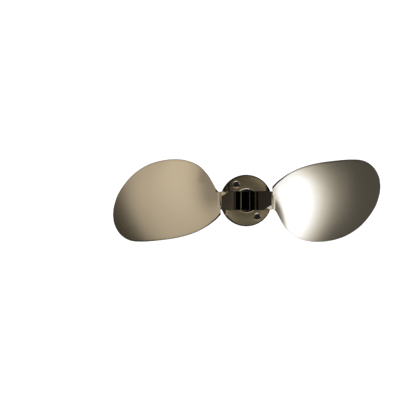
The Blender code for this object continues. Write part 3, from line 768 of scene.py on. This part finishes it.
# Geometry Nodes
def new_shape_tree(name, sizes, counts=()):
    """An empty Geometry Nodes tree with named inputs, and their sockets."""
    tree = bpy.data.node_groups.new(name, "GeometryNodeTree")
    tree.interface.new_socket("Geometry", in_out="OUTPUT", socket_type="NodeSocketGeometry")
    kinds = {label: "Int" for label in counts}
    kinds.update({label: "Float" for label in sizes}, Material="Material")
    for label, kind in kinds.items():
        tree.interface.new_socket(label, in_out="INPUT", socket_type=f"NodeSocket{kind}")
    return tree, tree.nodes.new("NodeGroupInput").outputs


def close_tree(tree, geometry, material):
    """Ends a tree with Realize Instances and Set Material."""
    real = add(tree, "GeometryNodeRealizeInstances", inputs={"Geometry": geometry})
    dressed = add(tree, "GeometryNodeSetMaterial", inputs={
        "Geometry": real.outputs[0], "Material": material})
    feed(tree, tree.nodes.new("NodeGroupOutput").inputs[0], dressed.outputs[0])


def shape_from(tree, look, values):
    """The mesh that a tree makes with these input values."""
    obj = object_from("shape", bpy.data.meshes.new("shape"))
    modifier = obj.modifiers.new("shape", "NODES")
    modifier.node_group = tree
    named = {item.name: item.identifier for item in tree.interface.items_tree if item.in_out == "INPUT"}
    for label, value in values.items():
        modifier[named[label]] = value
    modifier[named["Material"]] = bpy.data.materials[look]
    mesh = applied(obj)
    bm = bmesh.new()
    bm.from_mesh(mesh)
    bmesh.ops.remove_doubles(bm, verts=bm.verts, dist=0.000005)
    return mesh_from(bm)


def lifted(tree, geometry, x=0.0, z=0.0, turn=(0.0, 0.0, 0.0)):
    """The geometry moved along X and Z, and turned."""
    node = add(tree, "GeometryNodeTransform", inputs={
        "Geometry": geometry, "Translation": vector(tree, X=x, Z=z), "Rotation": turn})
    return node.outputs[0]


def rod(tree, radius, length, sides, top=None):
    """A cylinder, or a cone with its own top radius, centred on the origin along Z."""
    node = add(tree, "GeometryNodeMeshCone", fill_type="NGON", inputs={
        "Vertices": sides, "Radius Bottom": radius, "Depth": length,
        "Radius Top": radius if top is None else top})
    return lifted(tree, node.outputs["Mesh"], z=times(tree, length, -0.5))


def joined(tree, operation, first, *others):
    """An exact Boolean of shapes. A union takes them all alike."""
    node = add(tree, "GeometryNodeMeshBoolean", operation=operation, solver="EXACT")
    tree.links.new(first, node.inputs["Mesh 1" if operation == "DIFFERENCE" else "Mesh 2"])
    for other in others:
        tree.links.new(other, node.inputs["Mesh 2"])
    return node.outputs["Mesh"]


def around(tree, geometry, count, radius, first_angle):
    """Copies of the geometry on a circle, each turned to face outwards."""
    line = add(tree, "GeometryNodeMeshLine", mode="OFFSET", inputs={"Count": count, "Offset": (0, 0, 0)})
    index = tree.nodes.new("GeometryNodeInputIndex").outputs[0]
    step = maths(tree, "DIVIDE", math.tau, count)
    turn = plus(tree, times(tree, index, step), first_angle)
    node = add(tree, "GeometryNodeInstanceOnPoints", inputs={
        "Points": line.outputs[0], "Instance": lifted(tree, geometry, x=radius),
        "Rotation": vector(tree, Z=turn)})
    return node.outputs[0]


def socket_screw_tree():
    """Screws with a hexagon socket, on a circle about the shaft's axis, their heads up or turned over."""
    tree, given = new_shape_tree("socket_screws", [
        "Circle Radius", "First Angle", "Head Place", "Turn Over", "Head Radius", "Head Height", "Chamfer",
        "Shank Radius", "Length", "Key Radius", "Key Depth"], ["Count"])
    radius, height, key = given["Head Radius"], given["Head Height"], given["Key Radius"]
    head = lifted(tree, rod(tree, radius, height, 48), z=times(tree, height, -0.5))
    cone_height = times(tree, height, 3.0)
    over = times(tree, height, 0.25)
    cone_top = minus(tree, minus(tree, radius, given["Chamfer"]), over)
    cone = rod(tree, plus(tree, cone_top, cone_height), cone_height, 48, top=cone_top)
    half_cone = times(tree, cone_height, -0.5)
    head = joined(tree, "INTERSECT", head, lifted(tree, cone, z=plus(tree, half_cone, over)))
    shank_top = times(tree, height, -0.6)
    shank_length = plus(tree, given["Length"], shank_top)
    shank = rod(tree, given["Shank Radius"], shank_length, 40)
    shank = lifted(tree, shank, z=minus(tree, shank_top, times(tree, shank_length, 0.5)))
    socket = rod(tree, key, times(tree, given["Key Depth"], 2.0), 6)
    narrow, deep, broad = [times(tree, key, scale) for scale in (0.7, 0.8, 1.5)]
    mouth = rod(tree, narrow, deep, 32, top=broad)
    screw = joined(tree, "DIFFERENCE", joined(tree, "UNION", head, shank), socket, mouth)
    screw = lifted(tree, screw, z=given["Head Place"], turn=vector(tree, X=given["Turn Over"]))
    ring = around(tree, screw, given["Count"], given["Circle Radius"], given["First Angle"])
    close_tree(tree, ring, given["Material"])
    return tree


def tapped_pin_tree():
    """Two pins across the shaft, chamfered, with a threaded hole in each end for pulling them."""
    tree, given = new_shape_tree("tapped_pins", [
        "Spacing", "Height", "Radius", "Length", "Chamfer", "Tapping Radius", "Tapping Depth"])
    radius, length, chamfer = given["Radius"], given["Length"], given["Chamfer"]
    narrow = minus(tree, radius, chamfer)
    body = rod(tree, radius, minus(tree, length, times(tree, chamfer, 2.0)), 64)
    reach = times(tree, minus(tree, length, chamfer), 0.5)
    crown = lifted(tree, rod(tree, radius, chamfer, 64, top=narrow), z=reach)
    foot = lifted(tree, rod(tree, narrow, chamfer, 64, top=radius), z=times(tree, reach, -1.0))
    tapping, depth = given["Tapping Radius"], times(tree, given["Tapping Depth"], 2.0)
    wide = times(tree, tapping, 1.4)
    drills = []
    for sign, start, end in ((1.0, 0.0, wide), (-1.0, wide, 0.0)):
        face = times(tree, length, 0.5 * sign)
        drills.append(lifted(tree, rod(tree, tapping, depth, 32), z=face))
        drills.append(lifted(tree, rod(tree, start, wide, 32, top=end), z=face))
    pin = joined(tree, "DIFFERENCE", joined(tree, "UNION", body, crown, foot), *drills)
    lying = lifted(tree, pin, turn=(math.pi / 2, 0.0, 0.0))
    first = vector(tree, X=times(tree, given["Spacing"], -0.5), Z=given["Height"])
    line = add(tree, "GeometryNodeMeshLine", mode="OFFSET", inputs={
        "Count": 2, "Start Location": first, "Offset": vector(tree, X=given["Spacing"])})
    pins = add(tree, "GeometryNodeInstanceOnPoints", inputs={"Points": line.outputs[0], "Instance": lying})
    close_tree(tree, pins.outputs[0], given["Material"])
    return tree


def ring_blank(tree, given):
    """Height, middle height and outer body of a ring between Low and High."""
    tall = minus(tree, given["High"], given["Low"])
    middle = times(tree, plus(tree, given["High"], given["Low"]), 0.5)
    return tall, middle, rod(tree, given["Outer Radius"], tall, 96)


def perforated_ring_tree():
    """A ring with holes along its axis, on a circle midway through its wall."""
    tree, given = new_shape_tree("perforated_ring", [
        "Outer Radius", "Inner Radius", "Low", "High", "Hole Radius"], ["Holes"])
    tall, middle, outside = ring_blank(tree, given)
    through = times(tree, tall, 2.0)
    inside = rod(tree, given["Inner Radius"], through, 96)
    circle = times(tree, plus(tree, given["Outer Radius"], given["Inner Radius"]), 0.5)
    holes = around(tree, rod(tree, given["Hole Radius"], through, 24), given["Holes"], circle, 0.0)
    ring = joined(tree, "DIFFERENCE", outside, inside, holes)
    close_tree(tree, lifted(tree, ring, z=middle), given["Material"])
    return tree


def splined_sleeve_tree():
    """A sleeve whose bore has straight splines."""
    tree, given = new_shape_tree("splined_sleeve", [
        "Outer Radius", "Bore Radius", "Spline Tip Radius", "Low", "High", "Spline Width"], ["Splines"])
    tall, middle, outside = ring_blank(tree, given)
    bore = rod(tree, given["Bore Radius"], times(tree, tall, 2.0), 90)
    tooth_height = minus(tree, given["Bore Radius"], given["Spline Tip Radius"])
    size = vector(tree, X=times(tree, tooth_height, 2.0), Y=given["Spline Width"],
                  Z=times(tree, tall, 0.98))
    tooth = add(tree, "GeometryNodeMeshCube", inputs={"Size": size}).outputs[0]
    teeth = around(tree, tooth, given["Splines"], given["Bore Radius"], 0.0)
    sleeve = joined(tree, "UNION", joined(tree, "DIFFERENCE", outside, bore), teeth)
    close_tree(tree, lifted(tree, sleeve, z=middle), given["Material"])
    return tree


# Pieces
class PROPELLER_OT_blades(bpy.types.Operator):
    """Make both blades, each with its root and gear sector"""

    bl_idname = "propeller.blades"
    bl_label = "Blades"

    def execute(self, context):
        shape = context.scene.propeller_blade
        for side, turn in (("right", 0), ("left", math.pi)):
            step = 360 / TEETH_A_TURN
            mesh = whole_blade(shape, [TOP_TOOTH[side] - step * i for i in range(4)])
            moved(mesh, Matrix.Rotation(turn, 4, "Z"), Matrix.Translation((0, 0, PIVOT_HEIGHT)))
            finished(f"blade_{side}_casting", mesh, f"blade_{side}_group", "bronze_ground",
                     [f"blade_{side}"], sharp=40)
        return {"FINISHED"}


def hub_outside():
    """The hub's outer profile, bottom to top: a slight barrel, and an aft face that falls off to its rim."""
    foot, waist, aft = 39 * MM, 39.8 * MM, 38.4 * MM
    waist_height, rim, fall, flat = 46 * MM, 0.8 * MM, 0.5 * MM, 22 * MM
    profile = [(foot - 1.6 * MM, HUB_FOOT), (foot - 0.5 * MM, HUB_FOOT + 0.6 * MM)]
    low, high = HUB_FOOT + 1.6 * MM, HUB_TOP - rim - fall
    for step in range(30):
        height = low + (high - low) * step / 30
        end, span = (foot, waist_height - low) if height < waist_height else (aft, high - waist_height)
        share = (height - waist_height) / span
        profile.append((waist + (end - waist) * share * share, height))
    profile += arc((aft - rim, high), rim, 0, 84, 7)
    for step in range(8):
        share = 1 - step / 8
        profile.append((flat + (aft - rim - flat) * share, HUB_TOP - fall * share * share))
    return profile


def swing_relief(direction):
    """What is cut off the aft rim beside the slot for a blade to pass, about its pivot."""
    outline = arc((0, 0), HUB_SWING_RADIUS, 0, 70, 36)
    outline += [(outline[-1][0], 50 * MM), (50 * MM, 50 * MM), (50 * MM, 0)]
    mesh = moved(extruded(outline, -50 * MM, 50 * MM), ACROSS)
    outwards = Matrix.Rotation(0 if direction > 0 else math.pi, 4, "Z")
    return moved(mesh, outwards, Matrix.Translation((direction * PIVOT_OFFSET, 0, PIVOT_HEIGHT)))


def anode_screw_spots():
    outwards = Matrix.Translation((ANODE_SCREW_CIRCLE, 0, 0))
    return [Matrix.Rotation(math.radians(turn), 4, "Z") @ outwards for turn in (45, 135, 225, 315)]


def hub_cutters():
    """What is milled, bored and drilled out of the hub."""
    reach = 50 * MM
    above = HUB_TOP + 1 * MM
    bore, chamfer, chamfer_height = NUT_BORE_RADIUS, 1.1 * MM, 0.9 * MM
    mouth = bore + chamfer + chamfer / chamfer_height * MM
    cutters = [
        turned([(0, SEAT_TOP), (bore, SEAT_TOP), (bore, HUB_TOP - chamfer_height), (mouth, above),
                (0, above)], 144),
        box((-reach, -SLOT_HALF, PIVOT_HEIGHT - SLOT_DEPTH), (reach, SLOT_HALF, above)),
    ]
    screw, countersink = SCREW_HOLE_RADIUS, 1.6 * MM
    for direction in (1, -1):
        at_pivot = Matrix.Translation((direction * PIVOT_OFFSET, 0, PIVOT_HEIGHT)) @ ACROSS
        cutters.append(moved(cylinder(GEAR_ROOM_RADIUS, -SLOT_HALF, SLOT_HALF, 96), at_pivot))
        cutters.append(moved(cylinder(PIN_HOLE_RADIUS, -reach, reach, 64), at_pivot))
        cutters.append(swing_relief(direction))
        spot = Matrix.Translation((direction * PIVOT_OFFSET, -direction * SCREW_FROM_CENTRE, 0))
        hole = turned([(0, PIVOT_HEIGHT), (screw, PIVOT_HEIGHT), (screw, HUB_TOP - 1.3 * MM),
                       (screw + countersink + 1.2 * MM, above), (0, above)], 64)
        cutters.append(moved(hole, spot))
    for spot in anode_screw_spots():
        cutters.append(moved(cylinder(ANODE_HOLE_RADIUS, 0, 26 * MM, 32), spot))
    return cutters


class PROPELLER_OT_hub(bpy.types.Operator):
    """Make the slotted hub"""

    bl_idname = "propeller.hub"
    bl_label = "Hub"

    def execute(self, context):
        inside = [(SHAFT_HOLE_RADIUS, HUB_TOP), (SHAFT_HOLE_RADIUS, SEAT_BOTTOM),
                  (SOCKET_RADIUS, SEAT_BOTTOM), (SOCKET_RADIUS, HUB_FOOT)]
        hub = carved(turned(hub_outside() + inside, 160), hub_cutters())
        hub = softened(hub, 0.35 * MM, 40, 2)
        finished("hub_barrel", hub, HUB_GROUP, "bronze_turned", ["hub"])
        return {"FINISHED"}


class PROPELLER_OT_pins_and_screws(bpy.types.Operator):
    """Make the pivot pins, the screws that lock them and the anode's screws"""

    bl_idname = "propeller.pins_and_screws"
    bl_label = "Pins and screws"

    def execute(self, context):
        sizes = context.scene.propeller_fasteners
        pins = shape_from(tapped_pin_tree(), "steel_turned", {
            "Spacing": 2 * PIVOT_OFFSET, "Height": PIVOT_HEIGHT, "Radius": PIN_RADIUS,
            "Length": sizes.pin_length, "Chamfer": 0.5 * MM, "Tapping Radius": sizes.pin_tapping,
            "Tapping Depth": 9 * MM})
        finished("pivot_pins", pins, HUB_GROUP, "steel_turned",
                 ["pivot_pin_right", "pivot_pin_left"])

        tree = socket_screw_tree()
        top = HUB_TOP - sizes.lock_screw_recess
        lock = shape_from(tree, "steel_blackened", {
            "Count": 2, "Circle Radius": math.hypot(PIVOT_OFFSET, SCREW_FROM_CENTRE),
            "First Angle": math.atan2(-SCREW_FROM_CENTRE, PIVOT_OFFSET), "Head Place": top, "Turn Over": 0.0,
            "Head Radius": sizes.lock_screw_radius, "Head Height": 2 * MM, "Chamfer": 0.5 * MM,
            "Shank Radius": sizes.lock_screw_radius - 0.1 * MM,
            "Length": top - PIVOT_HEIGHT - PIN_RADIUS - 0.3 * MM, "Key Radius": sizes.key_radius,
            "Key Depth": 4 * MM})
        finished("lock_screws", lock, HUB_GROUP, "steel_blackened",
                 ["lock_screw_right", "lock_screw_left"])

        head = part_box("anode_screw_1")[0].z
        anode = shape_from(tree, "steel_turned", {
            "Count": 4, "Circle Radius": ANODE_SCREW_CIRCLE, "First Angle": math.pi / 4, "Head Place": head,
            "Turn Over": math.pi, "Head Radius": 5 * MM, "Head Height": 4.1 * MM, "Chamfer": 0.6 * MM,
            "Shank Radius": 3 * MM, "Length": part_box("anode_screw_1")[1].z - head,
            "Key Radius": 1.25 * sizes.key_radius, "Key Depth": 2.6 * MM})
        finished("anode_screws", anode, HUB_GROUP, "steel_turned",
                 [f"anode_screw_{number}" for number in range(1, 5)])
        return {"FINISHED"}


class PROPELLER_OT_drive(bpy.types.Operator):
    """Make the splined sleeve, its rubber ring, the thrust washer and the shaft nut"""

    bl_idname = "propeller.drive"
    bl_label = "Shaft drive"

    def execute(self, context):
        low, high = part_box("drive_sleeve")
        sleeve = shape_from(splined_sleeve_tree(), "bronze_turned", {
            "Outer Radius": SLEEVE_RADIUS, "Bore Radius": 12.3 * MM, "Spline Tip Radius": 10.5 * MM,
            "Low": low.z, "High": high.z, "Splines": 15, "Spline Width": 2.3 * MM})
        finished("splined_sleeve", sleeve, HUB_GROUP, "bronze_turned", ["drive_sleeve"])

        low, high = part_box("damper_ring")
        rubber = shape_from(perforated_ring_tree(), "damper_rubber", {
            "Outer Radius": SOCKET_RADIUS - 0.3 * MM, "Inner Radius": SLEEVE_RADIUS + 0.3 * MM,
            "Low": low.z, "High": high.z, "Holes": 10, "Hole Radius": 1.6 * MM})
        finished("rubber_ring", softened(rubber, 0.3 * MM), HUB_GROUP, "damper_rubber",
                 ["damper_ring"])

        low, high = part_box("thrust_washer")
        hole, edge = 10.8 * MM, 16.6 * MM
        washer = turned([(edge, low.z), (edge, high.z), (hole, high.z), (hole, low.z)])
        finished("nut_washer", softened(washer, 0.3 * MM), HUB_GROUP, "steel_turned",
                 ["thrust_washer"])
        self.make_nut()
        return {"FINISHED"}

    def make_nut(self):
        low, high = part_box("shaft_nut")
        flat = (high.x - low.x) / 2
        corner = flat * 2 / math.sqrt(3)
        drop = (corner - flat) * 0.6
        hexagon = cylinder(corner, low.z, high.z, 6)
        lathe = turned([(0, low.z), (flat, low.z), (corner, low.z + drop), (corner, high.z - drop),
                        (flat, high.z), (0, high.z)], 96)
        nut = carved(hexagon, [lathe], "INTERSECT")
        hole, mouth = 10 * MM, 11.5 * MM
        drill = turned([(0, low.z - MM), (mouth, low.z - MM), (hole, low.z + MM), (hole, high.z - MM),
                        (mouth, high.z + MM), (0, high.z + MM)], 96)
        finished("hexagon_nut", softened(carved(nut, [drill]), 0.2 * MM), HUB_GROUP,
                 "steel_turned", ["shaft_nut"])


class PROPELLER_OT_anode(bpy.types.Operator):
    """Make the two halves of the anode ring"""

    bl_idname = "propeller.anode"
    bl_label = "Anode"

    def execute(self, context):
        edge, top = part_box("anode_half_right")[1].x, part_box("anode_half_right")[1].z
        bore, hole, recess, depth = ANODE_BORE_RADIUS, ANODE_HOLE_RADIUS, 5.3 * MM, 5.8 * MM
        reach = 50 * MM
        for side, direction in (("right", 1), ("left", -1)):
            mesh = turned([(edge - 1.6 * MM, 0), (edge - 0.5 * MM, 1.1 * MM), (edge, top), (bore, top),
                           (bore, 0)], 144)
            split = direction * 0.4 * MM
            cutters = [box((min(split, -direction * reach), -reach, -reach),
                           (max(split, -direction * reach), reach, reach))]
            for spot in anode_screw_spots():
                if spot.translation.x * direction > 0:
                    drill = turned([(0, -MM), (recess, -MM), (recess, depth), (hole, depth),
                                    (hole, top + MM), (0, top + MM)], 48)
                    cutters.append(moved(drill, spot))
            half = softened(carved(mesh, cutters), 0.4 * MM, 30, 3)
            finished(f"anode_{side}", half, HUB_GROUP, "anode_cast", [f"anode_half_{side}"])
        return {"FINISHED"}


# Stage
def studio_world(look):
    """A dark studio with a large bright light below the picture and a dimmer warm one above it.

    Places are angles in degrees: tilt from straight up, and turn to the right, from up or down the picture.
    """
    world = bpy.data.worlds.new("studio")
    bpy.context.scene.world = world
    world.use_nodes = True
    tree = world.node_tree
    direction = tree.nodes.new("ShaderNodeTexCoord").outputs["Generated"]
    x, y, z = parts_of(tree, direction)
    tilt = times(tree, maths(tree, "ARCCOSINE", z), 180 / math.pi)
    turn = times(tree, maths(tree, "ARCTAN2", x, maths(tree, "ABSOLUTE", y)), 180 / math.pi)
    wide = maths(tree, "ABSOLUTE", turn)

    def step(value, low, high, start=0.0, end=1.0):
        return ramped(tree, value, low, high, start, end)

    def product(*factors):
        return times(tree, *factors)

    def patch(across, up, size, strength):
        """A soft round patch of light about a direction near the zenith."""
        aside = flat_length(tree, minus(tree, x, across), minus(tree, y, up))
        return step(aside, 0.0, size, strength, 0.0)

    # The bright light: a bowed near edge, a far edge and a right end, dimmer in its middle and low down
    off_centre = maths(tree, "DIVIDE", minus(tree, turn, 15.0), 19.0)
    bowed = minus(tree, tilt, product(off_centre, off_centre))
    far_edge = minus(tree, product(turn, 0.48), tilt)
    middle = product(step(turn, 0, 14), step(tilt, 29, 35, 0.0, 0.3))
    bright = product(
        step(bowed, 25.3, 44.5), step(far_edge, -86, -79.5, 0.1, 1.0), step(turn, 30, 62, 1.0, 0.0),
        minus(tree, 1.0, middle), step(tilt, 64, 78, 1.0, 0.55), look.bright_light)
    gold = product(step(wide, 62, 78), step(tilt, 30, 50, 0.0, 0.5 * look.warm_light))

    # The warm light: its near edge, its ends, and how it falls to half towards the far side and the right
    near = product(
        step(plus(tree, tilt, product(turn, 0.11)), 21.0, 23.2),
        step(minus(tree, tilt, product(turn, 0.3)), 21, 26, 0.78, 1.0))
    ends = product(step(turn, -58, -40), step(turn, 48, 62, 1.0, 0.0))
    level = plus(tree, step(turn, -40, 35, -0.16, 0.12), look.warm_light)
    far = product(step(tilt, 42.7, 69.7), step(turn, -25, 22))
    far = maths(tree, "MAXIMUM", far, product(step(turn, 30, 38), step(tilt, 53.5, 59)))
    warm = product(near, ends, mixed(tree, "FLOAT", far, level, 0.5 * look.warm_light))

    # Straight up: dim, with brighter patches and a dark one
    overhead = product(
        step(tilt, 14, 40, look.dim_sky, 0.4 * look.dim_sky), step(y, -0.15, 0.1, 0.95, 0.85),
        step(y, 0.12, 0.28, 1.0, 0.2))
    for spot in ((0.115, 0.11, 0.09, 0.42), (-0.065, -0.08, 0.075, 0.5), (0.095, -0.065, 0.075, 0.48),
                 (-0.07, 0.055, 0.09, -0.12)):
        overhead = plus(tree, overhead, patch(*spot))

    above = maths(tree, "GREATER_THAN", y, 0.0)
    light = plus(tree, mixed(tree, "FLOAT", above, plus(tree, bright, gold), warm), overhead)
    light = maths(tree, "MAXIMUM", light, 0.0)
    low = mixed(tree, "RGBA", step(bright, 0.15, 0.8), (1.02, 1, 0.94, 1), (0.97, 1, 1.03, 1))
    cool = mixed(tree, "RGBA", step(bright, 0.8, 1.7), low, (0.86, 0.955, 1.19, 1))
    warm_side = maths(tree, "MAXIMUM", above, step(wide, 60, 66))
    tone = mixed(tree, "RGBA", warm_side, cool, (1.09, 1.015, 0.895, 1))
    seen = tree.nodes.new("ShaderNodeLightPath").outputs["Is Camera Ray"]
    background = tree.nodes["Background"].inputs
    feed(tree, background["Strength"], mixed(tree, "FLOAT", seen, light, 1.0))
    feed(tree, background["Color"], mixed(tree, "RGBA", seen, tone, (1, 1, 1, 1)))


def floor_material():
    """White to the camera, and dark to what is mirrored, as a lit table top seen along its surface."""
    material = bpy.data.materials.new("floor_white")
    material.use_nodes = True
    tree = material.node_tree
    surface = tree.nodes["Principled BSDF"].inputs
    mirrored = tree.nodes.new("ShaderNodeLightPath").outputs["Is Glossy Ray"]
    grey, dark = (0.3, 0.3, 0.3, 1), (0.02, 0.02, 0.02, 1)
    feed(tree, surface["Base Color"], mixed(tree, "RGBA", mirrored, grey, dark))
    surface["Roughness"].default_value = 0.9
    surface["Specular IOR Level"].default_value = 0.0
    surface["Emission Color"].default_value = (1, 1, 1, 1)
    feed(tree, surface["Emission Strength"], mixed(tree, "FLOAT", mirrored, 1.05, 0.0))
    return material


class PROPELLER_OT_stage(bpy.types.Operator):
    """Set the floor, light and camera"""

    bl_idname = "propeller.stage"
    bl_label = "Stage"

    def execute(self, context):
        look = context.scene.propeller_stage
        scene = context.scene
        scene.view_settings.view_transform = "Standard"

        bm = bmesh.new()
        bmesh.ops.create_grid(bm, x_segments=1, y_segments=1, size=3)
        floor = object_from("floor", mesh_from(bm))
        floor.data.materials.append(floor_material())
        studio_world(look)

        camera = bpy.data.objects.new("camera", bpy.data.cameras.new("camera"))
        scene.collection.objects.link(camera)
        camera.data.sensor_width = 36
        camera.data.lens = camera.data.sensor_width * look.camera_height / look.picture_width
        camera.data.clip_end = 50
        camera.location = (look.camera_x, look.camera_y, PIVOT_HEIGHT + look.camera_height)
        scene.camera = camera
        return {"FINISHED"}


class PROPELLER_PT_panel(bpy.types.Panel):
    """Lists the propeller's pieces"""

    bl_label = "Folding propeller"
    bl_idname = "PROPELLER_PT_panel"
    bl_space_type = "VIEW_3D"
    bl_region_type = "UI"
    bl_category = "Propeller"

    def draw(self, context):
        for name in SETTINGS:
            settings = getattr(context.scene, name)
            for value in settings.__annotations__:
                self.layout.prop(settings, value)
        for operator in OPERATORS:
            self.layout.operator(operator.bl_idname)


SETTINGS = {
    "propeller_blade": BladeShape,
    "propeller_fasteners": FastenerShape,
    "propeller_metal": MetalLook,
    "propeller_stage": StageLook,
}
OPERATORS = (
    PROPELLER_OT_stage, PROPELLER_OT_blades, PROPELLER_OT_hub, PROPELLER_OT_pins_and_screws,
    PROPELLER_OT_drive, PROPELLER_OT_anode,
)
CLASSES = (*SETTINGS.values(), *OPERATORS, PROPELLER_PT_panel)


def register():
    for cls in CLASSES:
        bpy.utils.register_class(cls)
    for name, group in SETTINGS.items():
        setattr(bpy.types.Scene, name, PointerProperty(type=group))


def unregister():
    for name in SETTINGS:
        delattr(bpy.types.Scene, name)
    for cls in reversed(CLASSES):
        bpy.utils.unregister_class(cls)


def main():
    register()
    make_materials()
    bpy.ops.propeller.stage()
    bpy.ops.propeller.blades()
    bpy.ops.propeller.hub()
    bpy.ops.propeller.pins_and_screws()
    bpy.ops.propeller.drive()
    bpy.ops.propeller.anode()
    bpy.context.view_layer.update()


if __name__ == "__main__":
    main()
